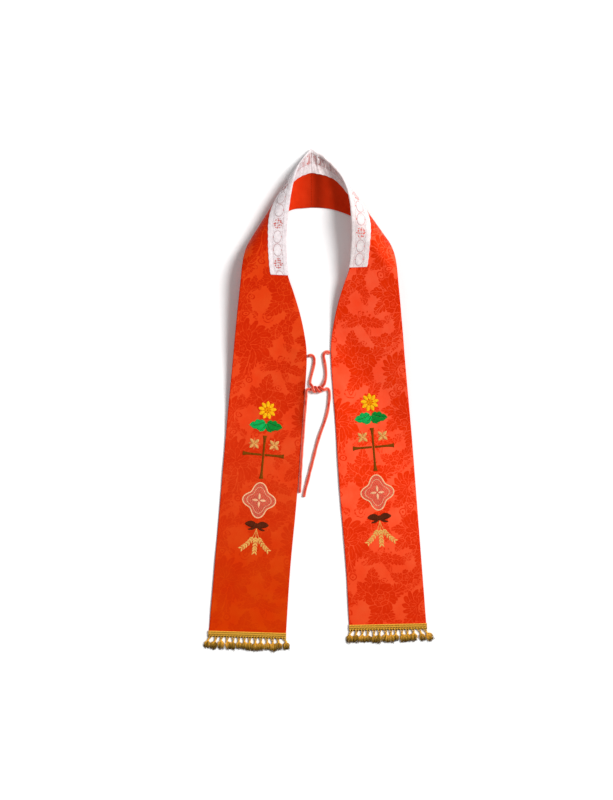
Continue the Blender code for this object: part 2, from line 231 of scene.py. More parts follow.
TUCK = (1.2, 4.5)               # height of the seam that it is sewn into, and length pressed flat
SPREAD = {"left": (0.1, 10.0), "right": (0.42, 20.0)}   # wider by, where pressed, and how far on
EXITS = {"left": (-20.06, 92.29, 3.30), "right": (26.42, 99.52, 3.52)}
ON_FLOOR = 3.3                  # height of a tie's centre where it lies
KNOT_HALF = 14.0                # half the length of the twist where the ties cross
KNOT_Y = 23.0                   # its middle, which hangs below its ends
KNOT_SAG = 4.0
KNOT_TURNS = 1.5
KNOT_WIDE = 4.6                 # from its middle line to a tie's centre, on the floor
KNOT_HIGH = 3.5                 # and upward


def smooth(x):
    """0 below 0, 1 above 1, an even S between."""
    x = np.clip(x, 0, 1)
    return x * x * (3 - 2 * x)


def unit(vectors):
    return vectors / np.maximum(np.linalg.norm(vectors, axis=-1, keepdims=True), 1e-12)


def catmull(points, at):
    """Points at places along the smooth curve through a row of points."""
    points = np.asarray(points, float)
    last = len(points) - 1
    i = np.clip(np.floor(at).astype(int), 0, last - 1)
    f = (np.asarray(at) - i)[..., None]
    a, b = points[np.maximum(i - 1, 0)], points[i]
    c, d = points[i + 1], points[np.minimum(i + 2, last)]
    return 0.5 * (2 * b + (c - a) * f + (2 * a - 5 * b + 4 * c - d) * f ** 2
                  + (3 * b - a - 3 * c + d) * f ** 3)


def evenly(points, step):
    """The same line with points a step apart."""
    points = np.asarray(points, float)
    gone = np.concatenate([[0], np.cumsum(np.linalg.norm(np.diff(points, axis=0), axis=1))])
    at = np.linspace(0, gone[-1], max(2, round(gone[-1] / step) + 1))
    return np.stack([np.interp(at, gone, points[:, k]) for k in range(points.shape[1])], axis=1)


def tubes(paths, radius, sides, flat=1.0, facing=(0, 0, 1)):
    """Points and faces of closed tubes along paths of equally many points.

    Flat is a tube's height for its width, and facing is the way that its height points.
    """
    paths = np.asarray(paths, float)
    count, length = paths.shape[:2]
    way = unit(np.gradient(paths, axis=1))
    side = unit(np.cross(way, np.broadcast_to(facing, way.shape)))
    top = np.cross(side, way)
    angle = 2 * np.pi * np.arange(sides) / sides
    radius = np.broadcast_to(radius, (count, length) if np.ndim(radius) < 3
                             else (count, length, sides))
    if radius.ndim == 2:
        radius = radius[:, :, None]
    out = (side[:, :, None] * np.cos(angle)[:, None]
           + top[:, :, None] * np.sin(angle)[:, None] * flat)
    points = paths[:, :, None] + out * radius[..., None]
    ring = np.arange(sides)
    first = (np.arange(count)[:, None, None] * length + np.arange(length - 1)[:, None]) * sides
    faces = np.stack([first + ring, first + (ring + 1) % sides,
                      first + sides + (ring + 1) % sides, first + sides + ring], axis=-1)
    ends = np.arange(count) * length * sides
    caps = [(e + ring[::-1]).tolist() for e in ends]
    caps += [(e + (length - 1) * sides + ring).tolist() for e in ends]
    return points.reshape(-1, 3), faces.reshape(-1, 4).tolist() + caps


def piece(name, points, faces, material, **attributes):
    """A smooth mesh object from points in millimetres, with named values at its points."""
    mesh = bpy.data.meshes.new(name)
    mesh.from_pydata((np.asarray(points) * MM).tolist(), [], faces)
    mesh.shade_smooth()
    for label, values in attributes.items():
        values = np.asarray(values, np.float32)
        kind, field = ("FLOAT_VECTOR", "vector") if values.ndim == 2 else ("FLOAT", "value")
        layer = mesh.attributes.new(label, kind, "POINT")
        layer.data.foreach_set(field, values.ravel())
    mesh.materials.append(material)
    thing = bpy.data.objects.new(name, mesh)
    scene.collection.objects.link(thing)
    return thing


def laid_on(thing, slot, *nodes):
    """Every piece is cloth of the one body. It hides the solids that it stands for; slot is not
    used.
    """
    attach(thing, "root")
    if nodes:
        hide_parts(*nodes)


def on_floor(*pairs):
    return [(x, y, ON_FLOOR) for x, y in pairs]


def lifted(*places):
    """Places over the floor, each with how far the tie is lifted there."""
    return [(x, y, ON_FLOOR + lift) for x, y, lift in places]


def knot_strand(first):
    """One tie's way through the twist from its left end, first half-turns in."""
    k = np.linspace(0, 1, int(KNOT_TURNS * 8) + 1)
    turn = (2 * np.pi * KNOT_TURNS * k + np.pi * first)[:, None]
    x = KNOT_HALF * (2 * k - 1)
    aside = unit(np.stack([-2 * KNOT_SAG * x / KNOT_HALF ** 2, np.ones_like(x), 0 * x], axis=1))
    middle = np.stack([x, KNOT_Y + KNOT_SAG * (x / KNOT_HALF) ** 2,
                       np.full_like(x, ON_FLOOR + KNOT_HIGH)], axis=1)
    over = np.sin(turn) * (0, 0, KNOT_HIGH)
    return [*(middle + aside * np.cos(turn) * KNOT_WIDE + over)]


routes = {
    "left": [EXITS["left"],
             *on_floor((-14.4, 95), (-9, 93), (-6.2, 87.6), (-6.3, 79), (-8.2, 69), (-10.4, 60),
                       (-12.6, 51)),
             *lifted((-14.4, 43.5, 0.1), (-15, 36.6, 1.0)),
             *knot_strand(0),
             *lifted((19.4, 24.6, 1.2), (22.8, 23.8, 0.3)),
             *on_floor((25, 20.2), (25.7, 14), (25.4, 5), (24.2, -7), (21.8, -22), (18, -37),
                       (12.6, -53), (6.6, -69), (1.2, -86), (-3.6, -104), (-8.6, -124),
                       (-14, -145), (-19.6, -167), (-24.6, -186), (-28, -203))],
    "right": [EXITS["right"],
              *on_floor((20.8, 101.8), (15.6, 99.6), (13.4, 94), (14.6, 86), (16.4, 76),
                        (17.8, 66), (18.4, 57)),
              *lifted((18, 48, 1.1), (16.6, 40.8, 3.6), (14.7, 34.8, 5.2)),
              *knot_strand(1)[::-1],
              *lifted((-18.6, 23.6, 5.0), (-20.8, 22.8, 5.9), (-22.5, 20.6, 5.7),
                      (-23.3, 17, 4.4), (-23.4, 12.6, 2.6), (-23.5, 7, 0.8)),
              *on_floor((-24.1, -4), (-25.1, -15), (-26.4, -30), (-27.9, -50), (-29.6, -72),
                        (-31.2, -94), (-32.7, -116), (-34.1, -138), (-35.3, -160), (-36.2, -178),
                        (-36.9, -194))],
}

satin_tube, start = new_material("satin_tube")
along = start.attribute("thread")
s, around = along.parts()[:2]
grain = start.noise(start.scaled(along, 0.6, 40.0, 1.0), 1.0, 3.0)
cross = (s * (2 * math.pi / SATIN_LINES)).sine()
uneven = start.noise(along, 9.0)
from_seam = abs(around - SEAM_TURN)
seam_shade = from_seam.step(0.0, 0.06)
red = grain.blend(colour(224, 78, 60), colour(248, 126, 104))
red = (uneven.step(0.35, 0.7) * 0.7).blend(red, colour(204, 36, 20))
# Painted highlight along both flanks of the tube
flank_highlight = from_seam.step(0.1, 0.17) * 0.7
red = flank_highlight.blend(red, colour(248, 150, 128))
start.surface(Base_Color=seam_shade.blend(colour(160, 22, 10), red),
              Roughness=0.42 + grain * 0.2, Specular_IOR_Level=0.3,
              Specular_Tint=(1.0, 0.4, 0.28, 1.0), Sheen_Weight=0.15, Sheen_Roughness=0.4,
              Sheen_Tint=(1.0, 0.5, 0.4, 1.0),
              Normal=start.bump(cross * 0.02 + grain * 0.06, 1.0))

for side, route in routes.items():
    fine = catmull(route, np.linspace(0, len(route) - 1, (len(route) - 1) * 12 + 1))
    path = evenly(fine, TIE_STEP)
    gone = np.arange(len(path)) * TIE_STEP
    left = gone[-1] - gone
    pressed = 1 - smooth(gone / TUCK[1])
    path[:, 2] += (TUCK[0] - EXITS[side][2]) * pressed
    angle = 2 * np.pi * np.arange(TIE_SIDES) / TIE_SIDES
    sway = 2.0 * np.sin(angle * 2 + gone[:, None] * 0.11)
    wrinkle = (np.sin(gone[:, None] * WRINKLES + sway)
               * np.sin(gone[:, None] * WRINKLE_PATCHES + angle) ** 2)
    groove = np.exp(-((angle - 2 * np.pi * SEAM_TURN) / GROOVE) ** 2)
    ring = TIE / 2 - TIE_RUMPLE * (1 + wrinkle) / 2 - TIE_SEAM * groove
    ring = ring * np.sqrt(1 - (1 - np.minimum(left / TIE_END, 1))[:, None] ** 4 * 0.94)
    ring = ring * (1 - SQUEEZED * pressed[:, None] * abs(np.sin(angle)))
    wider, length = SPREAD[side]
    swollen = np.sin(gone * 0.17 + 2 * np.sin(gone * 0.043)) * smooth(left / TIE_EVEN)
    squash = wider + (TIE_WIDE + TIE_WIDENS * swollen - wider) * smooth(gone / length)
    ring = ring * (1 + squash[:, None] * np.cos(2 * angle))
    points, faces = tubes(path[None], ring[None], TIE_SIDES, TIE_FLAT)
    values = np.stack([np.repeat(gone, TIE_SIDES), np.tile(angle / (2 * np.pi), len(gone)),
                       np.full(len(points), len(side))], axis=1)
    tie = piece("satin_tie_" + side, points, faces, satin_tube, thread=values)
    laid_on(tie, "rouleau", "tie_" + side)
    (path * MM).tolist()

# ------------------------------------------------------------------ damask faces
# Two mirrored strips of red figured silk on a stiff interfacing, cut to one pattern and joined
# by a seam at the centre of the back. Jacquard flowers and leaves show dull on bright satin.
HALF_CLOTH = 1.25               # half of face, gap and lining together
FACE_OVER = (0.05, 1.25)        # the face's underside and top, from the middle of the cloth
EDGE_ROUND = 1.7                # width in which a turned edge rounds off
EDGE_LEAST = 0.12               # thickness left at the very edge, where the seam is
CLOTH_STEP = 3.0                # between lines across a half, and along it at this width:
CLOTH_WIDTH = 150.0
NEAR_EDGE = (0.35, 0.9, 1.7, 2.8)       # lines beside an edge, which show how it rounds off,
NEAR_WIDTH = 120.0              # and the width at which they are so far in
SEAM_PUCKER = 0.16
PUCKER_LENGTH = 8.3
PUCKER_REACH = 5.0              # how far in from the edge the puckers die away

# The cut: how far up from the hem each line's neck end and outer end are, and how far in from
# the straight line of the outer edge.
Cut = namedtuple("Cut", "neck_up neck_in outer_up outer_in")
CUT = [
    Cut(10, 162, 0, 0),             # hem
    Cut(150, 158, 150, -1),
    Cut(300, 158, 300, -2),
    Cut(450, 155, 450, -3),
    Cut(560, 153.5, 560, -4),
    Cut(610, 150, 610, -5),         # widest, where the tie is sewn in
    Cut(650, 141, 648, -5.5),
    Cut(690, 128, 686, -6),
    Cut(730, 111, 726, -6),
    Cut(766, 94, 762, -6),          # lace begins
    Cut(800, 86, 794, -6),
    Cut(840, 80, 830, -6),
    Cut(880, 78, 866, -5),
    Cut(920, 79, 898, -3),
    Cut(960, 82, 932, -2),
    Cut(1000, 85, 962, -5),
    Cut(1030, 87, 984, -12),
    Cut(1052, 89, 1003, -20),       # centre of the back
]
HEM_UP = CUT[0].neck_up
SEAM_UP = CUT[-1].neck_up

# How each half is laid: its outer hem corner, how far its outer edge leans in, a point on the
# outer side of the roll, how far the roll leans in, the roll's radius, the fall of the cloth
# in front of it and the radius of the sweep in which it meets the floor.
Lay = namedtuple("Lay", "side hem_x hem_y lean roll_x roll_y roll_lean roll fall sweep")
LAYS = {"left": Lay(-1, -228, -491, 5.3, -90, 412, 32.4, 23, 18, 200),
        "right": Lay(1, 229.5, -475.5, 4.8, 107.5, 388, 35.5, 29, 18, 200)}

# Centre-back seam
SEAM_X = -13.0
SEAM_NECK_Y = 526.0
SEAM_OUTER_Y = 405.0
SEAM_RISE = 6.5
SEAM_RISE_REACH = 45.0
SEAM_BLEND = 90.0
SEAM_GAP = 0.1
SEAM_SHARP = 3.0                # how much sooner it rounds off than an edge does
LACE_OUTSIDE = 38.0             # how far the lace reaches from the neck edge on the face
LACE_LIFT = 2.2                 # it holds the back of the neck up, so that it is clear below,
LIFTED_FROM = (900.0, 60.0)     # from how far up the cut, and how far on it is whole,
LIFTED_PAST = (26.0, 24.0)      # to how far past the lace, and how far back it is whole

# Soft waves in the laid cloth: height, length along, length across, slant and start
Swell = namedtuple("Swell", "high along across slant start")
SWELLS = [Swell(0.9, 310, 900, 0.2, 0.0), Swell(0.55, 168, 420, -0.5, 1.9),
          Swell(0.35, 97, 260, 0.7, 4.1), Swell(0.22, 58, 190, -0.9, 2.6)]
SWELLS_FROM = (14.0, 60.0)      # up from the hem, where they begin and are whole
SWELLS_TO = (560.0, 700.0)      # and where they die away
# Creases pressed in by folding: half, both ends as (in, up), half width and height
Crease = namedtuple("Crease", "side start end wide high")
CREASES = [
    Crease(-1, (158, 452), (84, 414), 6.0, 1.3),
    Crease(-1, (150, 470), (96, 452), 5.0, -0.7),
    Crease(-1, (118, 478), (50, 446), 5.0, 0.6),
    Crease(-1, (92, 470), (30, 470), 4.5, -0.5),
    Crease(-1, (152, 600), (112, 574), 5.0, 0.9),
    Crease(-1, (152, 602), (104, 622), 6.0, 0.7),
    Crease(-1, (151, 596), (138, 540), 4.0, -0.6),
    Crease(-1, (150, 250), (86, 224), 6.0, 0.6),
    Crease(1, (152, 590), (116, 566), 5.0, 0.8),
    Crease(1, (152, 592), (108, 606), 6.0, 0.6),
    Crease(1, (150, 470), (104, 440), 6.0, 0.7),
    Crease(1, (60, 196), (132, 160), 7.0, 0.6),
    Crease(1, (148, 340), (92, 318), 6.0, 0.6),
    Crease(1, (20, 420), (84, 392), 5.0, 0.5),
]
FAR_OUT = -1000.0               # a place on the floor, far outside the roll

neck_line = [(row.neck_in, row.neck_up) for row in CUT]
outer_line = [(row.outer_in, row.outer_up) for row in CUT]
fine_at = np.linspace(0, len(CUT) - 1, (len(CUT) - 1) * 60 + 1)
fine_up = catmull(neck_line, fine_at)[:, 1]


def cut_line(up):
    """Ends, as (in, up), of the line across the cut whose neck end is a distance up."""
    at = np.interp(up, fine_up, fine_at)
    return catmull(neck_line, at), catmull(outer_line, at)


def width_at(up):
    neck, outer = cut_line(up)
    return np.linalg.norm(outer - neck, axis=-1)


def cut_point(up, distance):
    """A point of the cut, as (in, up), a distance from the neck edge."""
    neck, outer = cut_line(up)
    width = np.linalg.norm(outer - neck, axis=-1, keepdims=True)
    return neck + (outer - neck) * np.asarray(distance)[..., None] / width


def rolled(lay, q):
    """Where a point q past the roll's outer side goes: out, up, and its normal out and up."""
    radius, fall = lay.roll, math.radians(lay.fall)
    turn = -q / radius
    foot = -q - radius * (math.pi / 2 + fall)
    top_out = -radius * math.sin(fall) - radius
    top_high = radius + radius * math.cos(fall)
    slope = (top_high - lay.sweep * (1 - math.cos(fall))) / math.sin(fall)
    bend = fall - (foot - slope) / lay.sweep
    low_out = top_out - slope * math.cos(fall)
    stages = [q > radius * math.pi / 2, turn < math.pi / 2 + fall, foot < slope, bend > 0]
    out = np.select(stages, [
        -radius - (q - radius * math.pi / 2), radius * np.cos(turn) - radius,
        top_out - foot * math.cos(fall),
        low_out - lay.sweep * (math.sin(fall) - np.sin(bend))],
        low_out - lay.sweep * (math.sin(fall) - fall) - (foot - slope))
    high = np.select(stages, [0 * q, radius + radius * np.sin(turn),
                              top_high - foot * math.sin(fall), lay.sweep * (1 - np.cos(bend))],
                     0 * q)
    normal_out = np.select(stages, [0 * q, np.cos(turn), 0 * q - math.sin(fall), -np.sin(bend)],
                           0 * q)
    normal_up = np.select(stages, [0 * q - 1, np.sin(turn), 0 * q + math.cos(fall),
                                   np.cos(bend)], 0 * q + 1)
    return out, high, normal_out, normal_up


def swell(lay, point):
    """How far the cloth stands off the floor in its soft waves."""
    inward, up = point[..., 0] * lay.side, point[..., 1]
    high = 0 * up
    for wave in SWELLS:
        turn = up / wave.along + (inward / wave.across + inward * wave.slant / wave.along)
        high = high + wave.high * (0.5 + 0.5 * np.sin(2 * np.pi * turn + wave.start))
    begun = smooth((up - SWELLS_FROM[0]) / (SWELLS_FROM[1] - SWELLS_FROM[0]))
    ended = smooth((SWELLS_TO[1] - up) / (SWELLS_TO[1] - SWELLS_TO[0]))
    return high * begun * ended


def creased(lay, point):
    """How far the creases of a half stand up at a place of the cut."""
    high = 0 * point[..., 0]
    for crease in CREASES:
        if crease.side == lay.side:
            first, last = np.array(crease.start, float), np.array(crease.end, float)
            along = last - first
            share = ((point - first) @ along) / (along @ along)
            off = np.linalg.norm(point - first - np.clip(share, 0, 1)[..., None] * along, axis=-1)
            fade = smooth((share + 0.25) / 0.4) * smooth((1.15 - share) / 0.6)
            high = high + crease.high * np.exp(-(off / crease.wide) ** 2) * fade
    return high


def unseamed(lay, up, distance):
    """Middle of the cloth and its face normal, before the half is drawn to the seam."""
    point = cut_point(up, distance)
    lean, roll_lean = math.radians(lay.lean), math.radians(lay.roll_lean)
    onward = np.array([-lay.side * math.sin(lean), math.cos(lean)])
    inward = np.array([-lay.side * math.cos(lean), -math.sin(lean)])
    flat = np.array([lay.hem_x, lay.hem_y]) + point[..., :1] * inward + point[..., 1:] * onward
    along = np.array([-lay.side * math.sin(roll_lean), math.cos(roll_lean)])
    outward = np.array([lay.side * math.cos(roll_lean), math.sin(roll_lean)])
    start_at = np.array([lay.roll_x, lay.roll_y])
    slack = rolled(lay, np.array(FAR_OUT))[0] - FAR_OUT
    q = (flat - start_at) @ outward - slack
    out, high, normal_out, normal_up = rolled(lay, q)
    spot = start_at + ((flat - start_at) @ along)[..., None] * along + out[..., None] * outward
    lift = LACE_LIFT * smooth((up - LIFTED_FROM[0]) / LIFTED_FROM[1])
    lift = lift * smooth((LACE_OUTSIDE + LIFTED_PAST[0] - distance) / LIFTED_PAST[1])
    lift = lift + np.maximum(swell(lay, point) + creased(lay, point), 0)
    place = np.concatenate([spot, (HALF_CLOTH + high + lift)[..., None]], -1)
    normal = np.concatenate([normal_out[..., None] * outward, normal_up[..., None]], -1)
    return place, normal


def laid(lay, up, distance):
    """Middle of the laid cloth and its face normal, on a line a distance from the neck edge."""
    up, distance = np.broadcast_arrays(np.asarray(up, float), np.asarray(distance, float))
    place, normal = unseamed(lay, up, distance)
    pull = smooth(1 - (SEAM_UP - up) / SEAM_BLEND)[..., None]
    across = distance * (SEAM_NECK_Y - SEAM_OUTER_Y) / width_at(SEAM_UP)
    rise = SEAM_RISE * np.exp(-(across / SEAM_RISE_REACH) ** 2)
    seam_at = np.stack([0 * rise + SEAM_X, SEAM_NECK_Y - across, HALF_CLOTH + rise], axis=-1)
    steep = 2 * across * rise / SEAM_RISE_REACH ** 2
    seam_normal = unit(np.stack([0 * steep, steep, 0 * steep - 1], axis=-1))
    place = place + (seam_at - unseamed(lay, 0 * up + SEAM_UP, distance)[0]) * pull
    place[..., 0] += lay.side * SEAM_GAP / 2 * pull[..., 0]
    return place, unit(normal * (1 - pull) + seam_normal * pull)


def graded(low, high, step, near):
    """Places a step apart, with some more that are near to each end."""
    near = np.array(near)
    inner = np.linspace(low + near[-1] + step / 2, high - near[-1] - step / 2,
                        max(2, round((high - low - 2 * near[-1] - step) / step) + 1))
    return np.concatenate([[low], low + near, inner, (high - near)[::-1], [high]])


def shell(upper, lower):
    """Points and faces of a closed sheet between two grids of points."""
    rows, cols = upper.shape[:2]
    index = np.arange(rows * cols).reshape(rows, cols)
    top = np.stack([index[:-1, :-1], index[:-1, 1:], index[1:, 1:], index[1:, :-1]], axis=-1)
    low = top[..., ::-1] + rows * cols
    rim = np.concatenate([index[0], index[1:, -1], index[-1, -2::-1], index[-2:0:-1, 0]])
    after = np.roll(rim, -1)
    wall = np.stack([rim, rim + rows * cols, after + rows * cols, after], axis=-1)
    faces = np.concatenate([top.reshape(-1, 4), low.reshape(-1, 4), wall])
    return np.concatenate([upper.reshape(-1, 3), lower.reshape(-1, 3)]), faces


def facing_out(points, faces):
    """The faces of a closed form, turned over if they look inward."""
    corners = points[faces]
    volume = np.einsum("ij,ij->i", corners[:, 0], np.cross(corners[:, 1], corners[:, 2])).sum()
    return (faces if volume > 0 else faces[:, ::-1]).tolist()


def cloth_layer(lay, inner, outer, step=CLOTH_STEP):
    """One layer of a half: points, faces, and for each point its cut place and edge distance.

    Inner and outer are distances from the middle of the cloth, on the face side or the other.
    """
    ups = graded(HEM_UP, SEAM_UP, step, NEAR_EDGE)
    shares = graded(0.0, 1.0, step / CLOTH_WIDTH, np.array(NEAR_EDGE) / NEAR_WIDTH)
    up, share = np.meshgrid(ups, shares, indexing="ij")
    distance = share * width_at(up)
    edge = np.minimum.reduce([distance, width_at(up) - distance, (SEAM_UP - up) * SEAM_SHARP,
                              up - HEM_UP])
    round_off = np.sqrt(1 - (1 - np.minimum(edge / EDGE_ROUND, 1)) ** 2)
    turn = 2 * np.pi * (up + 1.7 * np.sin(up * 0.051)) / PUCKER_LENGTH
    pucker = SEAM_PUCKER * np.exp(-edge / PUCKER_REACH) * (0.5 + 0.5 * np.sin(turn)) * round_off
    place, normal = laid(lay, up, distance)
    least = math.copysign(EDGE_LEAST, outer)
    thick = least + (outer - inner - least) * round_off - math.copysign(1, outer) * pucker
    skin = place + normal * (inner + thick)[..., None]
    under = place + normal * (inner - inner * 0.8 * (1 - smooth(edge / 2)))[..., None]
    points, faces = shell(skin, under)
    point = np.concatenate([cut_point(up, distance), edge[..., None]], axis=-1).reshape(-1, 3)
    return points, facing_out(points, faces), np.concatenate([point, point])


# One repeat of the figured silk, in millimetres: what grows where, how big, which way it points
# in degrees, how many petals or lobes it has and how far it curves. Later ones lie over earlier.
REPEAT = (155.0, 250.0)
SMALL_REPEAT = (77.5, 62.5)     # of the little sprigs that fill the bare places between
Motif = namedtuple("Motif", "kind x y size angle lobes bend")
FILLING = [
    Motif("leaf", 27, 21, 25, 40, 4, 0.5),
    Motif("leaf", 24, 18, 23, 196, 4, -0.5),
    Motif("rose", 26, 19, 9, 20, 5, 0.6),
    Motif("leaf", 66, 50, 25, 130, 4, 0.5),
    Motif("bud", 48, 36, 5.5, 70, 1.2, 0),
]
FIGURE = [
    Motif("tendril", 88, 122, 13, 40, 1, 0.8),
    Motif("berries", 136, 30, 9, 0, 6, 0),
    Motif("leaf", 52, 60, 60, 162, 5, 0.5),
    Motif("leaf", 56, 56, 66, 258, 6, -0.5),
    Motif("leaf", 60, 62, 62, 328, 6, 0.6),
    Motif("leaf", 50, 72, 62, 108, 6, -0.5),
    Motif("leaf", 44, 58, 52, 212, 5, 0.5),
    Motif("leaf", 68, 74, 50, 8, 5, -0.5),
    Motif("leaf", 112, 186, 56, 176, 5, 0.6),
    Motif("leaf", 116, 180, 66, 238, 6, -0.6),
    Motif("leaf", 120, 190, 58, 30, 6, 0.5),
    Motif("leaf", 112, 192, 62, 96, 6, -0.5),
    Motif("leaf", 120, 180, 58, 296, 6, 0.5),
    Motif("leaf", 106, 194, 50, 140, 5, -0.5),
    Motif("leaf", 38, 168, 42, 70, 5, 0.5),
    Motif("leaf", 30, 160, 46, 232, 5, -0.5),
    Motif("leaf", 34, 160, 40, 300, 5, 0.5),
    Motif("leaf", 128, 100, 40, 205, 5, 0.5),
    Motif("leaf", 130, 104, 42, 52, 5, -0.5),
    Motif("leaf", 132, 98, 36, 300, 5, 0.5),
    Motif("leaf", 132, 20, 42, 195, 5, 0.5),
    Motif("leaf", 136, 16, 40, 340, 5, -0.5),
    Motif("leaf", 20, 224, 40, 40, 5, 0.5),
    Motif("leaf", 20, 224, 38, 160, 5, -0.5),
    Motif("spray", 54, 66, 50, 50, 14, 0.5),
    Motif("spray", 50, 62, 30, 66, 11, -0.4),
    Motif("rose", 42, 50, 20, 200, 5, 0.7),
    Motif("rose", 116, 186, 36, 30, 6, 0.7),
    Motif("rose", 116, 186, 19, 60, 5, -0.7),
    Motif("spray", 36, 164, 34, 165, 13, 0.4),
    Motif("spray", 38, 164, 19, 150, 11, -0.4),
    Motif("rose", 128, 102, 18, 10, 5, 0.6),
    Motif("rose", 18, 226, 17, 50, 5, 0.6),
    Motif("rose", 134, 18, 14, 80, 5, -0.6),
    Motif("rose", 92, 66, 12, 50, 5, 0.6),
    Motif("bud", 22, 112, 8.0, 25, 1.3, 0),
    Motif("bud", 40, 124, 6.5, 110, 1.2, 0),
    Motif("bud", 62, 236, 7.0, 70, 1.3, 0),
]
WOVEN_STEP = 0.5                # size of the steps in a woven outline
WANDER = 3.4                    # how far outlines wander from their drawn line
VEIN = 0.66                     # half the width of a bare vein
WANDERS_IN = 15.0               # length in which they do so
CLEAR = 1.2                     # bare line round whatever lies over another


def polar(here, bend=0.0):
    """Distance from the middle, and angle round it in a whirl that bends towards the rim."""
    x, y = here.parts()[:2]
    reach = here.node("VectorMath", {"operation": "LENGTH"}, {0: here}, 1)
    return reach, here.math("ARCTAN2", y, x) + reach * bend


def spray(here, size, lobes, bend):
    """A flower seen from its side: narrow fingers spread from one stalk, each with a vein."""
    reach, angle = polar(here, bend / size)
    finger = abs((angle * (lobes / 2)).cosine())
    span = (2.0 - abs(angle)) * reach
    body = size * (0.58 + 0.42 * finger ** 0.6) - (angle * 2.3).sine() * (size * 0.06) - reach
    body = body.least(span)
    parting = (finger * reach * (2 / lobes) - VEIN * 0.9).most(size * 0.22 - reach)
    rib = (abs((angle * (lobes / 2)).sine()) * reach * (2 / lobes) - VEIN * 0.4)
    rib = rib.most(size * 0.5 - reach).most(reach - size * 0.8)
    return body, body.least(parting).least(rib)


def rose(here, size, lobes, bend):
    """A round flower: notched petals about a ring of smaller ones and a dotted heart."""
    reach, angle = polar(here, bend / size)
    petal = abs((angle * (lobes / 2)).cosine())
    notch = abs((angle * (lobes * 1.5)).cosine())
    body = size * 0.7 + petal * (size * 0.2) + notch * (size * 0.1) - reach
    parting = (petal * reach * (2 / lobes) - VEIN).most(size * 0.48 - reach)
    crease = (notch * reach * (0.67 / lobes) - VEIN * 0.4).most(size * 0.6 - reach)
    crease = crease.most(reach - size * 0.8)
    inner = size * 0.34 + abs((angle * (lobes / 2)).sine()) * (size * 0.16) - reach
    heart = (angle * lobes).cosine() + (reach * (9.0 / size)).sine() - 0.5
    return body, (body.least(parting).least(crease).least(abs(inner) - VEIN)
                  .least(reach - size * 0.22).most(heart.least(size * 0.2 - reach)))


def leaf(here, size, lobes, bend):
    """A long leaf whose lobes point forward, with a bare midrib and a vein in each lobe."""
    x, y = here.parts()[:2]
    share = x * (1 / size)
    y = abs(y + x * (1 - share) * bend)
    wide = (share * (1 - share) * 4).most(0.0) ** 0.75 * (1.3 - share * 0.5) * (size * 0.27)
    slant = (share * lobes - y * (lobes / size)) * math.pi
    lobe = abs(slant.sine())
    body = wide * (0.58 + 0.42 * lobe ** 0.7) - y
    pitch = size / lobes * 0.25
    parting = (lobe * pitch - VEIN * 0.6).most(wide * 0.3 - y)
    vein = (abs(slant.cosine()) * pitch - VEIN * 0.4).most(y - wide * 0.62)
    return body, body.least(parting).least(vein).least(y - VEIN * 0.8)


def bud(here, size, stretch, bend):
    """A closed bud: one round line about a small kernel."""
    reach = polar(here.scaled(here, stretch, 1.0, 1.0))[0]
    body = size + 1.3 - reach
    return body, body.least((1.4 - abs(reach - size)).most(size * 0.3 - reach))


def berries(here, size, lobes, bend):
    """Berries set round a spot."""
    reach, angle = polar(here)
    near = here.math("WRAP", angle, math.pi / lobes, -math.pi / lobes) * size
    off = (near * near + (reach - size) * (reach - size)) ** 0.5
    body = (size * 0.24 - off).most(size * 0.2 - reach)
    return body, body


def tendril(here, size, lobes, bend):
    """A thin stalk wound up in a spiral."""
    reach, angle = polar(here)
    wound = here.math("WRAP", reach - angle * (size * 0.09) * (1 if bend > 0 else -1),
                      size * 0.2827, -size * 0.2827)
    body = (1.15 - abs(wound)).least(size - reach)
    return body, body


DRAWN = {"spray": spray, "rose": rose, "leaf": leaf, "bud": bud, "berries": berries,
         "tendril": tendril}


def figure(cut):
    """How far inside the woven figure a place is, in millimetres; less than 0 outside it."""
    woven = cut.node("VectorMath", {"operation": "SNAP"}, {0: cut, 1: (WOVEN_STEP,) * 3})
    flat = woven.scaled(woven, 1.0, 1.0, 0.0)
    drift = cut.node("TexNoise", {"noise_dimensions": "2D"},
                     {"Vector": flat, "Scale": 1 / WANDERS_IN, "Detail": 3.0}, 1)
    drift = cut.node("VectorMath", {"operation": "SUBTRACT"}, {0: drift, 1: (0.5, 0.5, 0.5)})
    drift = drift.scaled(drift, 2 * WANDER, 2 * WANDER, 0.0)
    flat = cut.node("VectorMath", {"operation": "ADD"}, {0: flat, 1: drift})
    inside = None
    for motif, repeat in ([(small, SMALL_REPEAT) for small in FILLING]
                          + [(large, REPEAT) for large in FIGURE]):
        middle = (motif.x, motif.y, 0)
        off = cut.node("VectorMath", {"operation": "SUBTRACT"}, {0: flat, 1: middle})
        off = cut.node("VectorMath", {"operation": "WRAP"},
                       {0: off, 1: (repeat[0] / 2, repeat[1] / 2, 1),
                        2: (-repeat[0] / 2, -repeat[1] / 2, -1)})
        here = cut.node("VectorRotate", {"rotation_type": "Z_AXIS"},
                        {"Vector": off, "Angle": -math.radians(motif.angle)})
        body, drawn = DRAWN[motif.kind](here, motif.size, motif.lobes, motif.bend)
        inside = drawn if inside is None else inside.least(-CLEAR - body).most(drawn)
    return inside


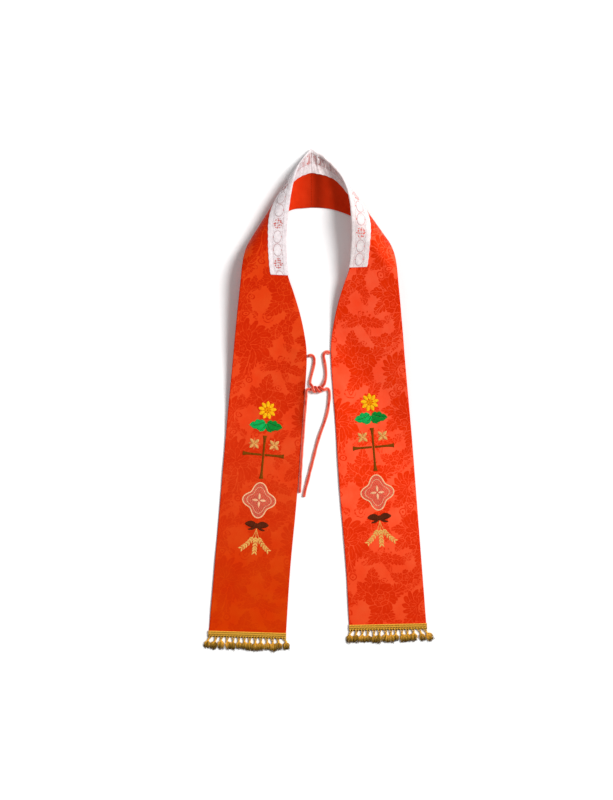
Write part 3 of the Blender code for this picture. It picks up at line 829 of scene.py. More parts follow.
THREAD = 0.42                   # between two warp threads
PATCHES = 46.0                  # size of the silk's lighter and darker, higher and lower patches
RUMPLES = 14.0                  # and of its small rumples
EDGE_SHADE_WIDTH = 2.4                      # width of the painted shade along every edge, where the cloth rounds off
damask, start = new_material("figured_silk")
cut = start.attribute("cut")
painted_sheen = start.attribute("painted_sheen", 2)
dull = figure(cut).step(-0.3, 0.3)
x, y, edge = cut.parts()
warp = start.noise(start.scaled(cut, 2.2, 0.05, 0.0), 1.0, 2.0)
weft = start.noise(start.scaled(cut, 0.05, 2.2, 0.0), 1.0, 2.0)
cloud = start.noise(start.scaled(cut, 1.0, 1.0, 0.0), PATCHES, 3.0)
shine = (cloud * 0.7 + warp * 0.3).step(0.25, 0.75)
bright = shine.blend(colour(253, 70, 34), colour(255, 94, 60))
deep = (weft * 0.6 + cloud * 0.4).step(0.3, 0.7).blend(colour(218, 36, 0), colour(236, 50, 0))
# How plainly the figure shows is painted sheen, as the light would catch the satin
silk = (dull * painted_sheen).blend(bright, deep)
# Painted shade: the red darkened where a half should take less light
silk = start.attribute("painted_shade", 2).blend(silk, (0.57, 0.40, 0.0, 1.0), "MULTIPLY")
# Painted shade: darker within this of every edge, where the cloth rounds off
painted_edge_shade = (EDGE_SHADE_WIDTH - edge).step(0.0, EDGE_SHADE_WIDTH) * 0.35
silk = painted_edge_shade.blend(silk, colour(150, 18, 0))
# Painted shade along the neck edge
silk = start.attribute("painted_neck_shade", 2).blend(silk, colour(138, 26, 0))
rumpled = start.noise(start.scaled(cut, 1.0, 0.5, 0.0), RUMPLES, 2.0)
ribs = (x * (2 * math.pi / THREAD)).sine() + (y * (2 * math.pi / THREAD)).sine()
start.surface(Base_Color=silk, Roughness=0.40 + dull * 0.16 + cloud * 0.1,
              Specular_IOR_Level=0.3, Specular_Tint=(1.0, 0.16, 0.05, 1.0),
              Sheen_Weight=0.04, Sheen_Roughness=0.45, Sheen_Tint=(1.0, 0.25, 0.1, 1.0),
              Normal=start.bump(ribs * 0.012 + warp * 0.05 + weft * 0.03 + rumpled * 0.2
                                + cloud * 0.9, 1.0))

# Painted sheen: how plainly the figure shows at the hem and at the shoulder, and between which
# places it grows
PAINTED_SHEEN_SHOWS = {"left": (0.4, 0.94), "right": (0.93, 0.97)}
FIGURE_GROWS = (60.0, 620.0)
# Painted shade: how much the red is darkened, at places up from the hem, where less light falls
PAINTED_SHADE_ALONG = {"left": ((0, 1.0), (150, 0.95), (450, 0.64), (800, 0.9)),
         "right": ((0, 0.6), (120, 0.52), (300, 0.1), (450, 0.0), (800, 0.0))}
# Painted shade along the neck edge, as if it turned down and away from the light: from and to which
# place up from the hem, how far in, and how dark it is there
NECK_SHADE_PLACES = {"left": (430.0, 590.0, 9.0, 0.75), "right": (300.0, 560.0, 4.0, 0.25)}
NECK_SHADE_FADES = (40.0, 60.0)    # lengths in which that begins and ends
SHIFTS = {"left": (28, 196, 0), "right": (52, 118, 0)}    # where in the silk each half was cut
for side, lay in LAYS.items():
    points, faces, cut_at = cloth_layer(lay, *FACE_OVER)
    low, high = PAINTED_SHEEN_SHOWS[side]
    grown = smooth((cut_at[:, 1] - FIGURE_GROWS[0]) / (FIGURE_GROWS[1] - FIGURE_GROWS[0]))
    drawn_at = cut_at * (-lay.side, 1, 1) + SHIFTS[side]
    first, last, reach, most = NECK_SHADE_PLACES[side]
    from_neck = np.interp(cut_at[:, 1], fine_up, catmull(neck_line, fine_at)[:, 0]) - cut_at[:, 0]
    painted_neck_shade = most * smooth((cut_at[:, 1] - first) / NECK_SHADE_FADES[0])
    painted_neck_shade = painted_neck_shade * smooth((last - cut_at[:, 1]) / NECK_SHADE_FADES[1])
    painted_neck_shade = painted_neck_shade * np.exp(-np.maximum(from_neck, 0) / reach)
    face = piece("damask_face_" + side, points, faces, damask, cut=drawn_at,
                 painted_sheen=low + (high - low) * grown,
                 painted_shade=np.interp(cut_at[:, 1], *zip(*PAINTED_SHADE_ALONG[side])), painted_neck_shade=painted_neck_shade)
    laid_on(face, "damask", "face_" + side)
    "lining_cloth_" + side

# ------------------------------------------------------------------ linings
# Plain red lining satin, cut to the same pattern as the face, sewn to it right sides together
# along both long edges and turned. It shows behind the neck, where the stole rolls over.
LINING_UNDER = (-0.25, -1.25)   # its upper side and underside, from the middle of the cloth
LINING_STEP = 4.0               # less of it shows, so its points stand wider apart
TWILL = 0.5                     # between two lines of its weave
LINING_EDGE_SHADE = 1.6

lining, start = new_material("lining_satin")
cut = start.attribute("cut")
x, y, edge = cut.parts()
slub = start.noise(start.scaled(cut, 0.06, 3.0, 0.0), 1.0, 3.0)
cloud = start.noise(start.scaled(cut, 1.0, 1.0, 0.0), 30.0, 3.0)
red = (slub * 0.5 + cloud * 0.5).step(0.25, 0.75).blend(colour(210, 42, 8), colour(232, 58, 20))
twill = ((x + y) * (2 * math.pi / TWILL)).sine()
# A faint painted shade along the edges and the seam
red = ((LINING_EDGE_SHADE - edge).step(0.0, LINING_EDGE_SHADE) * 0.02).blend(red, colour(150, 20, 4))
# Painted shade in the hollow beside the seam
red = start.attribute("painted_hollow_shade", 2).blend(red, colour(106, 12, 0))
start.surface(Base_Color=red, Roughness=0.46 + slub * 0.14, Specular_IOR_Level=0.25,
              Specular_Tint=(1.0, 0.16, 0.05, 1.0), Sheen_Weight=0.08, Sheen_Roughness=0.5,
              Sheen_Tint=(1.0, 0.25, 0.1, 1.0),
              Normal=start.bump(twill * 0.012 + slub * 0.04 + cloud * 1.2, 1.0))

# Painted shade in the hollow beside the seam: places to the right of the seam, and how dark it is
# there
PAINTED_HOLLOW = ((-46, 0.0), (-30, 0.1), (-14, 0.26), (0, 0.46), (7, 0.7), (14, 0.84), (22, 0.74),
          (32, 0.46), (44, 0.2), (60, 0.06), (80, 0.0))
for side, lay in LAYS.items():
    points, faces, cut_at = cloth_layer(lay, *LINING_UNDER, LINING_STEP)
    cloth = piece("lining_cloth_" + side, points, faces, lining, cut=cut_at * (lay.side, 1, 1),
                  painted_hollow_shade=np.interp(points[:, 0] - SEAM_X, *zip(*PAINTED_HOLLOW)))
    laid_on(cloth, "lining", "lining_" + side)

# ------------------------------------------------------------------ lace collar
# One strip of white cotton lace, folded over the neck edge and hemmed down on both sides to
# keep the silk clean. Solid ovals in corded outlines stand in pairs between sprigs in open net.
LACE_FROM = 766.0               # up from the hem, where it begins on each half
LACE_INSIDE = 50.0              # how far it reaches on the lining
LACE_OFF = (1.65, 2.2)          # its underside and top, from the middle of the cloth
LACE_STEP = 1.5
LACE_NEAR = (0.3, 0.8, 1.4, 2.0)        # lines beside its edges
LACE_PITCH = 28.0               # two ovals and a sprig take three of these
STARTS = (60.0, 32.0)           # where the repeat stands at the centre back, left and right of it
OVAL = (11.4, 7.4)              # half its length and width
OVAL_ROW = 20.5                 # its middle, from the fold
BAND = (9.8, 30.5)              # solid bands: within this of the fold, and beyond this
PATCH = (12.5, 9.0)             # half the length and width of an open patch about a sprig
SPRIG = (2.5, 4.4, 5)           # its place in the repeat's pitches, half its width and its petals
MESH_HOLE = 1.7
OPEN_HOLE = 5.0                 # between round holes in an open patch
EYES = (12.2, 28.6)             # rows of eyelets between the ovals, from the fold
STITCH_LINES = 1.1              # between the close stitches of the solid bands
GATHERED = (30.0, 34.0, 86.0)   # gathers inside the neck: their middle in the repeat, and reach
CORD = 0.42                     # half the thickness of a corded outline
EYELET = 1.7                    # half across an open eyelet
LACE_SCALLOP = 0.7              # depth of the waves in its edges
FOLD_FROM = 9.5                 # how far in the cloth's edge takes its direction from
FRILLS = ((-34, 11, 1.0), (-60, 9, 0.6))    # bulges of the fold: place, half width and share
FRILL = (3.2, 7.0)              # how far they stand out, and half their width across the fold
GATHERS = (1.3, 0.34)           # height of the gathers, and turn of their wave in a millimetre
# Eased round the neck, its inner edge runs uneven: how far it reaches at places along it
EASED = ((-120, 50), (-91, 46), (-72, 38), (-55, 34.5), (-30, 38.5), (0, 48), (22, 42.5),
         (40, 41.5), (70, 45), (120, 50))
FOLD = math.pi * LACE_OFF[0]    # length of lace that goes round the neck edge


def on_lace(s, t, off):
    """A place on the folded lace and the way that it faces.

    S runs along the neck edge from the centre back, more than 0 on the left half, and t runs
    across from the fold, more than 0 on the face.
    """
    s, t = np.broadcast_arrays(np.asarray(s, float), np.asarray(t, float))
    up = SEAM_UP - abs(s)
    distance = np.maximum(abs(t) - FOLD / 2, 0)
    turn = np.clip(t / FOLD, -0.5, 0.5) * np.pi
    found = []
    for lay in (LAYS["left"], LAYS["right"]):
        place, normal = laid(lay, up, distance)
        edge = laid(lay, up, 0)[0]
        outward = edge - laid(lay, up, FOLD_FROM)[0]
        outward = unit(outward - normal * (outward * normal).sum(-1, keepdims=True))
        way = unit(outward * np.cos(turn)[..., None] + normal * np.sin(turn)[..., None])
        found.append((place + way * np.asarray(off)[..., None], way))
    on_left = (s > 0)[..., None]
    return tuple(np.where(on_left, a, b) for a, b in zip(*found))


def repeat_at(s):
    """Place in the pattern's repeat at a place along the neck edge."""
    return s + np.where(s > 0, *STARTS)


def oval_share(s, t):
    """0 in the middle of the nearest oval, 1 on its outline; large where there is none."""
    along = np.mod(repeat_at(s), 3 * LACE_PITCH)
    near = np.minimum(abs(along - LACE_PITCH / 2), abs(along - 1.5 * LACE_PITCH))
    return np.hypot(near / OVAL[0], (abs(t) - OVAL_ROW) / OVAL[1])


lace, start = new_material("cotton_lace")
strip = start.attribute("strip")
s, t = strip.parts()[:2]
far = abs(t)
repeat = s.math("WRAP", s, 3 * LACE_PITCH, 0.0)
pair = abs(repeat - LACE_PITCH / 2).least(abs(repeat - LACE_PITCH * 1.5))
out = (far - OVAL_ROW) * (1 / OVAL[1])
oval = ((pair * (1 / OVAL[0])) ** 2 + out * out) ** 0.5
drawn_up = start.noise(start.scaled(strip, 0.13, 0.035, 0.0), 1.0, 2.0).step(0.4, 0.6)
gathered = (1 - abs(s - GATHERED[0]).step(*GATHERED[1:])) * (1 - t.step(-14.0, -3.0))
plain = 1 - gathered * 0.8
solid = (1 - oval.step(0.9, 0.96)) * plain
ring = (1 - abs(oval - 1.12).step(0.05, 0.16)) * 0.5 * plain
wave = (s * (2 * math.pi / LACE_PITCH)).cosine()
rail = abs(far - BAND[1] + wave * 0.9).least(abs(far - BAND[0] - wave * 0.7))
rail = (1 - rail.step(0.4, 0.9)) * 0.34
sprig_x = repeat - LACE_PITCH * SPRIG[0]
sprig = s.node("CombineXYZ", None, {0: sprig_x, 1: far - OVAL_ROW, 2: 0.0})
patch = ((sprig_x * (1 / PATCH[0])) ** 2 + ((far - OVAL_ROW) * (1 / PATCH[1])) ** 2) ** 0.5
patch = patch + start.noise(strip, 5.0) * 0.5 - 0.25
opened = (1 - patch.step(0.8, 1.05)) * plain
in_patch = opened.step(0.4, 0.6)
blossom = rose(sprig, *SPRIG[1:], 0.0)[1].step(-0.2, 0.2)
mesh_at = strip.scaled(strip, 1.0, 1.0, 0.0)
cells = strip.node("TexVoronoi", {"voronoi_dimensions": "2D", "feature": "DISTANCE_TO_EDGE"},
                   {"Vector": mesh_at, "Scale": 1 / MESH_HOLE, "Randomness": 0.35})
coarse = strip.node("TexVoronoi", {"voronoi_dimensions": "2D", "feature": "F1"},
                    {"Vector": mesh_at, "Scale": 1 / OPEN_HOLE, "Randomness": 0.45})
fine_net = 1 - cells.step(0.19, 0.27)
open_net = coarse.step(0.28, 0.5)
stitched = 1 - abs((s * (2 * math.pi / STITCH_LINES)).sine()).step(0.75, 0.95) * 0.5
eye_x = abs(s.math("WRAP", s, LACE_PITCH / 2, -LACE_PITCH / 2)) - LACE_PITCH / 2
eye, eye_low = ((eye_x * eye_x + (far - row) * (far - row)) ** 0.5 for row in EYES)
holes = eye.least(eye_low).step(EYELET * 0.75, EYELET * 0.85)
bands = (1 - far.step(BAND[0] - 0.6, BAND[0] + 0.6)).most(far.step(BAND[1] - 0.6, BAND[1] + 0.6))
gathered = gathered * (drawn_up * 0.85 + 0.1) * (1 - t.step(-28.0, -38.0) * 0.7)
fibre = start.noise(start.scaled(strip, 1.0, 4.0, 0.0), 0.7, 3.0)
worn_thin = start.noise(start.scaled(strip, 1.0, 1.0, 0.0), 8.0, 3.0).step(0.3, 0.7)
sheer = fine_net.most(0.45 + fibre * 0.2).most(solid * 0.86).most(bands * stitched * 0.93)
sheer = sheer * (1 - ring) * (1 - rail) * (1 - worn_thin * 0.26)
cover = in_patch * (open_net.most(blossom) * 0.68) + (1 - in_patch) * sheer
cover = cover.most(fibre * 0.2) * holes * (1 - gathered * 0.8)
thick = solid.most(bands * 0.7).most(blossom * 0.6)
tint = start.noise(strip, 24.0)
clean = (fibre * 0.6 + tint * 0.4).step(0.25, 0.75)
# Painted light and shade: the right half's lace lighter and pinker, the left half's greyer
shaded_white = clean.blend(colour(226, 212, 215), colour(248, 241, 242))
lit_white = clean.blend(colour(255, 236, 235), colour(255, 250, 249))
white = start.attribute("painted_lace_light", 2).blend(shaded_white, lit_white)
start.surface(Base_Color=white, Roughness=0.8, Specular_IOR_Level=0.2, Alpha=cover,
              Normal=start.bump(thick * 0.3 + fibre * 0.1 + (1 - stitched) * -0.1, 1.0))

s_rows = graded(-(SEAM_UP - LACE_FROM), SEAM_UP - LACE_FROM, LACE_STEP, LACE_NEAR)
t_cols = graded(-(LACE_INSIDE + FOLD / 2), LACE_OUTSIDE + FOLD / 2, LACE_STEP, LACE_NEAR)
s, t = np.meshgrid(s_rows, t_cols, indexing="ij")
near_end = smooth((abs(t) - BAND[1]) / (LACE_OUTSIDE - BAND[1]))
eased = np.interp(s, *zip(*EASED)) / LACE_INSIDE
scallop = near_end * LACE_SCALLOP * (0.5 - 0.5 * np.cos(4 * np.pi * s / LACE_PITCH))
laid_t = t * np.where(t < 0, eased, 1) - np.sign(t) * scallop
raised = 0.25 * (1 - smooth((oval_share(s, t) - 0.8) / 0.3)) + 0.12 * (abs(t) > BAND[1])
rumple = 0.12 + 0.12 * np.sin(s * 0.31 + t * 0.12) * np.sin(s * 0.083 - t * 0.21)
frill = sum(share * np.exp(-((s - at) / wide) ** 2) for at, wide, share in FRILLS)
rumple = rumple + FRILL[0] * frill * np.exp(-(t / FRILL[1]) ** 2)
gathers = smooth(1 - abs(s + 22) / 70) * smooth(-t / 12) * smooth((LACE_INSIDE + 6 + t) / 14)
pleat = s * GATHERS[1] + 0.9 * np.sin(t * 0.07) + 2 * np.sin(s * 0.11)
rumple = rumple + gathers * GATHERS[0] * np.sin(pleat) ** 4
skin = on_lace(s, laid_t, LACE_OFF[1] + raised + rumple)[0]
under = on_lace(s, laid_t, LACE_OFF[0] + rumple)[0]
points, faces = shell(skin, under)
places = np.stack([repeat_at(s), t, 0 * s], axis=-1).reshape(-1, 3)
# Painted light: 1 on the right half of the lace, 0 on the left
collar = piece("lace_strip", points, facing_out(points, faces), lace,
               strip=np.concatenate([places, places]),
               painted_lace_light=np.tile(smooth(0.5 - s / 60).ravel(), 2))
laid_on(collar, "lace", "lace_collar")

corded, start = new_material("lace_cord")
ply = (start.attribute("thread").parts()[0] * (2 * math.pi / 0.8)).sine()
start.surface(Base_Color=(ply * 0.5 + 0.5).blend(colour(224, 216, 220), colour(252, 248, 250)),
              Roughness=0.75, Specular_IOR_Level=0.25, Normal=start.bump(ply * 0.05, 1.0))

CORD_POINTS = 26
CORD_SIDES = 6
CORD_LENGTH = 50.0              # of the cord round an oval
PITCHES = range(-12, 24)        # more than the strip holds: what lies past its ends is dropped
turn = np.linspace(0, 2 * np.pi, CORD_POINTS)
loops = []
reach = SEAM_UP - LACE_FROM
for outside in (1, -1):
    for half_side, at_seam in zip((1, -1), STARTS):
        for i in PITCHES:
            middle = (i + 0.5) * LACE_PITCH - at_seam
            drawn_flat = outside > 0 or abs(middle) >= GATHERED[2]
            if i % 3 < 2 and middle * half_side > OVAL[0] and drawn_flat:
                loops.append((middle + OVAL[0] * np.cos(turn),
                              outside * (OVAL_ROW + OVAL[1] * np.sin(turn))))
            eye_at = i * LACE_PITCH - at_seam
            if eye_at * half_side > EYELET:
                loops += [(eye_at + EYELET * np.cos(turn), outside * (row + EYELET * np.sin(turn)))
                          for row in EYES]
loops = [(a, b) for a, b in loops if abs(a).max() < reach - 1 and abs(b).min() > 3]
s = np.array([a for a, b in loops])
t = np.array([b for a, b in loops])
path, facing = on_lace(s, t, LACE_OFF[1] + 0.3 + 0 * s)
points, faces = tubes(path, CORD, CORD_SIDES, 0.8, facing)
gone = np.tile(np.repeat(np.linspace(0, CORD_LENGTH, CORD_POINTS), CORD_SIDES), len(loops))
outline = piece("lace_cords", points, faces, corded,
                thread=np.stack([gone, 0 * gone, 0 * gone], axis=1))
laid_on(outline, "lace")

# ------------------------------------------------------------------ tasselled braids
# A gold gimp braid sewn over each hem: a woven tape with a plait between two twisted cords.
# Pairs of twisted threads run from it to wrapped knots, each holding a small cut tassel.
BRAID = (-7.8, 2.2)             # its edges, as drops below the hem
TAPE_Z = (2.75, 3.35)           # underside and top of the woven tape
TAPE_STEP = 0.65                # between two weft threads of the tape
TAPE_WARPS = 11
TAPE_WEAVE = 0.12               # how far a thread stands over or under that top
PLAIT_PITCH = 6.4
PLAIT_SWING = 1.5               # how far its strands go to either side,
PLAIT_RISE = (0.6, 0.45)        # their height over the tape's top, and how far they rise and sink
# Twisted cords: how far a ply's middle is from the cord's, half its thickness, and the length of
# one turn
Twist = namedtuple("Twist", "off ply turn")
EDGE_CORD = Twist(0.72, 0.86, 5.8)
PLAITED = Twist(0.42, 0.56, 2.1)
NET = Twist(0.62, 0.66, 4.2)
# The cords along the tape: drop below the hem, height over the tape's top and shades of the plies
# The third cord lies under the braid's edge; its dark shades are painted shadow.
BRAID_CORDS = ((BRAID[0] + 0.9, 0.65, (0.8, 1.6)), (BRAID[1] - 0.9, 0.35, (0.4, 1.0)),
               (BRAID[1] + 1.2, -0.55, (-0.3, -0.2)))
NET_SHADES = (0.1, 0.8, 1.3)
TASSELS = 14
NET_SEWN = (0.3, 1.2)           # its place beside a tassel, in pitches, and up from the tape's edge
NET_DROP = 10.6                 # from the tape to the wrapped knots
NET_Z = (3.25, 2.8)             # height of its threads at the tape and at a knot
KNOT_AT = 2.75                  # height of a knot's middle
# Knots painted lighter than the threads, a painted highlight
KNOT_SHADE = 1.3
SPLAYED = (8.0, 2.0, 0.55)      # the outermost tassels: how far out, how far up, and their tilt
STRAYS = (0.8, 0.6, 0.2)        # how far a knot strays along and down, and how its tassel tilts
OWN = (0.08, 0.1, 0.16)         # how far its length, width and dye differ from the others'
HEAD = 4.0                      # across a wrapped knot
TASSEL = 14.8                   # its length below the knot
TASSEL_THREADS = 46
TASSEL_SPREAD = 13.8            # across it, where its threads spread most
TASSEL_Z = (0.5, 6.0)           # between the floor and the top of the threads
THREAD_HALF = 0.42              # half the thickness of a cut thread

gold, start = new_material("gold_gimp")
thread = start.attribute("thread")
along, around, own = thread.parts()
wrap = ((along + around * 0.9) * (2 * math.pi / 0.62)).sine()
fleck = start.noise(start.scaled(thread, 0.5, 3.0, 7.0), 1.0, 2.0)
# Each thread's shade picks its colour between shaded and lit gold, on the metal and on its
# wrapping's ridges: painted light and shade, with some random tone
lit = (own * 0.6 + fleck * 0.4).step(0.2, 0.85)
metal = lit.blend(colour(58, 37, 3), colour(240, 170, 50))
ridge = (own * 0.8 + 0.1).blend(colour(70, 42, 4), colour(255, 207, 88))
metal = (wrap * 0.5 + 0.5).blend(metal, ridge)
start.surface(Base_Color=metal, Metallic=0.2 + own * 0.1, Roughness=0.5 + fleck * 0.2,
              Specular_IOR_Level=0.3, Specular_Tint=colour(226, 150, 36),
              Normal=start.bump(wrap * 0.05 + fleck * 0.08, 1.0))

draw = np.random.default_rng(11)


def twisted(path, twist, plies, phase=0.0):
    """Paths of the plies of a twisted cord along a line of points."""
    path = np.asarray(path, float)
    gone = np.concatenate([[0], np.cumsum(np.linalg.norm(np.diff(path, axis=0), axis=1))])
    way = unit(np.gradient(path, axis=0))
    side = unit(np.cross(way, (0, 0, 1)))
    top = np.cross(side, way)
    found = []
    for ply in range(plies):
        turn = (2 * np.pi * (gone / twist.turn + ply / plies) + phase)[:, None]
        found.append(path + (side * np.cos(turn) + top * np.sin(turn)) * twist.off)
    return found


class Skein:
    """Tubes gathered into one piece, each with its length, place round and own shade."""

    def __init__(self):
        self.points, self.faces, self.values, self.count = [], [], [], 0

    def add(self, paths, radius, sides, shade, flat=1.0, facing=(0, 0, 1)):
        """Shade is one for each tube, or one for each point along each tube."""
        paths = np.asarray(paths, float)
        points, faces = tubes(paths, radius, sides, flat, facing)
        steps = np.linalg.norm(np.diff(paths, axis=1), axis=2)
        gone = np.concatenate([np.zeros((len(paths), 1)), np.cumsum(steps, axis=1)], axis=1)
        shade = np.asarray(shade, float)
        shade = shade[:, :, None] if shade.ndim == 2 else np.reshape(shade, (-1, 1, 1))
        shades = np.broadcast_to(shade, (*gone.shape, sides))
        values = np.stack([np.broadcast_to(gone[..., None], shades.shape),
                           np.broadcast_to(np.arange(sides) / sides, shades.shape), shades], -1)
        self.points.append(points)
        self.faces += [[self.count + i for i in face] for face in faces]
        self.values.append(values.reshape(-1, 3))
        self.count += len(points)

    def piece(self, name, material):
        return piece(name, np.concatenate(self.points), self.faces, material,
                     thread=np.concatenate(self.values))


for side, lay in LAYS.items():
    neck = laid(lay, HEM_UP, 0.0)[0]
    outer = laid(lay, HEM_UP, float(width_at(HEM_UP)))[0]
    across = unit(neck - outer)
    down = np.array([across[1], -across[0], 0]) * -lay.side
    width = np.linalg.norm(neck - outer)
    corner = outer - (0, 0, HALF_CLOTH)

    def spot(along, drop, high):
        """A place by its distance along the hem, its drop below it and its height."""
        along, drop, high = np.broadcast_arrays(along, drop, high)
        return (corner + np.asarray(along, float)[..., None] * across
                + np.asarray(drop, float)[..., None] * down
                + np.asarray(high, float)[..., None] * (0, 0, 1))

    skein = Skein()
    run = np.arange(-0.5, width + 0.5, 0.5)
    weft = np.arange(-0.5, width + 0.5, TAPE_STEP)
    warp = np.linspace(BRAID[0] + 0.6, BRAID[1] - 0.6, TAPE_WARPS)
    over = (-1.0) ** (np.arange(len(weft))[:, None] + np.arange(TAPE_WARPS))
    upper = spot(weft[:, None], warp[None], TAPE_Z[1] + TAPE_WEAVE * over)
    lower = spot(weft[:, None], warp[None], TAPE_Z[0])
    tape_points, tape_faces = shell(upper, lower)
    skein.points.append(tape_points)
    skein.faces += facing_out(tape_points, tape_faces)
    tape_values = np.stack([np.repeat(weft, TAPE_WARPS), np.tile(warp, len(weft)),
                            np.zeros(len(weft) * TAPE_WARPS)], axis=1)
    skein.values += [tape_values, tape_values]
    skein.count += len(tape_points)
    for drop, high, dye_and_shade in BRAID_CORDS:
        line = spot(np.arange(-0.6, width + 0.6, EDGE_CORD.turn / 8), drop, TAPE_Z[1] + high)
        skein.add(twisted(line, EDGE_CORD, 2), EDGE_CORD.ply, 6, dye_and_shade)
    middle = sum(BRAID) / 2
    for strand in range(3):
        turn = 2 * np.pi * (run / PLAIT_PITCH + strand / 3)
        line = spot(run, middle + PLAIT_SWING * np.sin(turn),
                    TAPE_Z[1] + PLAIT_RISE[0] + PLAIT_RISE[1] * np.cos(2 * turn))
        skein.add(twisted(line, PLAITED, 2), PLAITED.ply, 5, (0.7, 1.1 - 0.25 * strand))

    pitch = width / TASSELS
    for i in range(TASSELS):
        at = (i + 0.5) * pitch
        lean = (2 * at / width - 1) ** 3
        head = np.array([at + SPLAYED[0] * lean, BRAID[1] + NET_DROP - SPLAYED[1] * abs(lean)])
        head = head + draw.normal(0, STRAYS[:2])
        for go in (-1, 1):
            reach = np.linspace(0, 1, 22)
            bow = 0.5 * np.sin(np.pi * reach)
            sewn_at = np.array([at + go * pitch * NET_SEWN[0], BRAID[1] - NET_SEWN[1]])
            drawn_in = sewn_at + (head - sewn_at) * reach[:, None]
            line = spot(drawn_in[:, 0], drawn_in[:, 1],
                        NET_Z[0] + (NET_Z[1] - NET_Z[0]) * reach + bow * (0.5 + 0.4 * go))
            skein.add(twisted(line, NET, 3, go), NET.ply, 5, NET_SHADES)
        tilt = SPLAYED[2] * lean + draw.normal(0, STRAYS[2])
        own_long, own_wide, own_dye = 1 + draw.normal(0, OWN)
        way = unit(np.array([tilt, 1.0]))
        aside = np.array([way[1], -way[0]])
        reach = np.linspace(-1, 1, 17)
        knot = head + way * (reach[:, None] * HEAD * 0.6)
        barrel = HEAD / 2 * np.sqrt(np.maximum(1 - reach ** 4 * 0.8, 0.05))
        barrel *= 1 - 0.07 * np.cos(reach * 6 * np.pi)
        skein.add(spot(knot[:, 0], knot[:, 1], KNOT_AT)[None], barrel[None], 12,
                  (KNOT_SHADE * own_dye,), 0.95)
        count = TASSEL_THREADS
        fan = (np.arange(count) + 0.5) / count * 2 - 1 + draw.normal(0, 0.05, count)
        level = draw.uniform(0, 1, count)
        long = TASSEL * own_long * (1 - 0.06 * fan ** 2 + draw.normal(0, 0.1, count))
        reach = np.linspace(0, 1, 8)
        bulge = np.sin(np.pi / 2 * np.minimum(reach * 2.6, 1)) ** 0.8 * (1 - 0.06 * reach ** 4)
        root = HEAD * 0.36
        splay = fan[:, None] * (root + (TASSEL_SPREAD * own_wide / 2 - root) * bulge)
        splay = splay + 0.7 * np.sin(reach * 8 + draw.uniform(0, 6, (count, 1))) * reach
        drop = HEAD * 0.4 + long[:, None] * reach
        flat = head + way * drop[..., None] + aside * splay[..., None]
        top = KNOT_AT + (level[:, None] - 0.5) * HEAD * 0.75
        room = (TASSEL_Z[1] - TASSEL_Z[0]) * level[:, None]
        low = TASSEL_Z[0] + room * 0.62
        puff = room * 0.4 * np.sin(np.pi * reach ** 0.8)
        high = top + (low - top) * smooth(reach) + puff * (1 - 0.5 * fan[:, None] ** 2)
        high = high + 0.25 * np.sin(reach * 9 + fan[:, None] * 5) * reach
        high = np.clip(high, TASSEL_Z[0], None)
        taper = THREAD_HALF * (1 - 0.2 * reach)
        # Painted shade: each thread darker towards its end, with its own random dye
        dye_and_shade = (0.2 + 1.1 * draw.uniform(0, 1, (count, 1))) * (1.5 - 1.6 * reach) * own_dye
        skein.add(spot(flat[..., 0], flat[..., 1], high), np.tile(taper, (count, 1)), 4, dye_and_shade)
    fringe = skein.piece("gold_fringe_" + side, gold)
    laid_on(fringe, "gold_braid", "fringe_" + side)

# ------------------------------------------------------------------ embroidery
# The same column of ornament on both halves, machine sewn in shiny rayon: a cross between two
# four-leaved flowers under a rosette with leaves, a sheer medallion, and a bow with three sprigs.
COLUMN_IN = 79.5                # its middle, in from the outer edge of the cut
STITCH_PITCH = 0.56
STITCH = 0.36                   # half the thickness of a stitch
STITCH_SINKS = 0.12             # how deep its ends go into the cloth
STITCH_ARCH = (0.30, 0.055)     # how high it stands, and how much more for each millimetre
STITCH_HIGHEST = 0.9
STITCH_POINTS = 5
STITCH_SIDES = 4
STITCH_STRAYS = 0.07            # how far its ends miss their places
RUNNING = 2.6                   # length of one running stitch
# Each thread's colour lit and in shade: every stitch is painted between the two, a painted shade
# that differs at random from stitch to stitch
SPOOLS = {"brown": ((140, 80, 16), (96, 50, 6)), "pale_gold": ((236, 184, 110), (196, 138, 66)),
          "leaf_green": ((30, 190, 100), (8, 140, 60)), "dark_green": ((22, 150, 60), (6, 104, 36)),
          "yellow": ((255, 206, 30), (240, 160, 6)), "orange": ((248, 168, 12), (220, 120, 4)),
          "cream": ((250, 210, 165), (226, 168, 120)), "pink": ((236, 146, 122), (212, 104, 82)),
          "wheat": ((244, 196, 112), (206, 146, 62)), "dark_brown": ((104, 46, 24), (62, 22, 10)),
          "rust": ((168, 88, 66), (120, 50, 34))}


def petal(base, tip, half_width, blunt=0.75, bow=0.0, teeth=0):
    """Two rails from base to tip, bulging to either side of a bowed middle line."""
    base, tip = np.array(base, float), np.array(tip, float)
    f = np.linspace(0, 1, 40)[:, None]
    aside = unit(np.array([base[1] - tip[1], tip[0] - base[0]]))
    middle = base + (tip - base) * f + aside * bow * np.sin(np.pi * f)
    bulge = half_width * np.sin(np.pi * f ** 0.85) ** blunt
    if teeth:
        bulge = bulge * (0.72 + 0.28 * abs(np.sin(teeth * np.pi * f ** 0.9)))
    return middle, aside * bulge


def satin(first, second):
    """Close stitches across the strip between two rails, as their ends."""
    longest = max(np.linalg.norm(np.diff(rail, axis=0), axis=1).sum() for rail in (first, second))
    count = max(3, round(longest / STITCH_PITCH))

    def spaced(rail):
        gone = np.concatenate([[0], np.cumsum(np.linalg.norm(np.diff(rail, axis=0), axis=1))])
        at = np.linspace(0, gone[-1], count)
        return np.stack([np.interp(at, gone, rail[:, k]) for k in (0, 1)], axis=1)
    return np.stack([spaced(first), spaced(second)], axis=1)


def running(line, step=RUNNING):
    """Stitches end to end along a line."""
    line = evenly(line, step)
    return np.stack([line[:-1], line[1:]], axis=1)


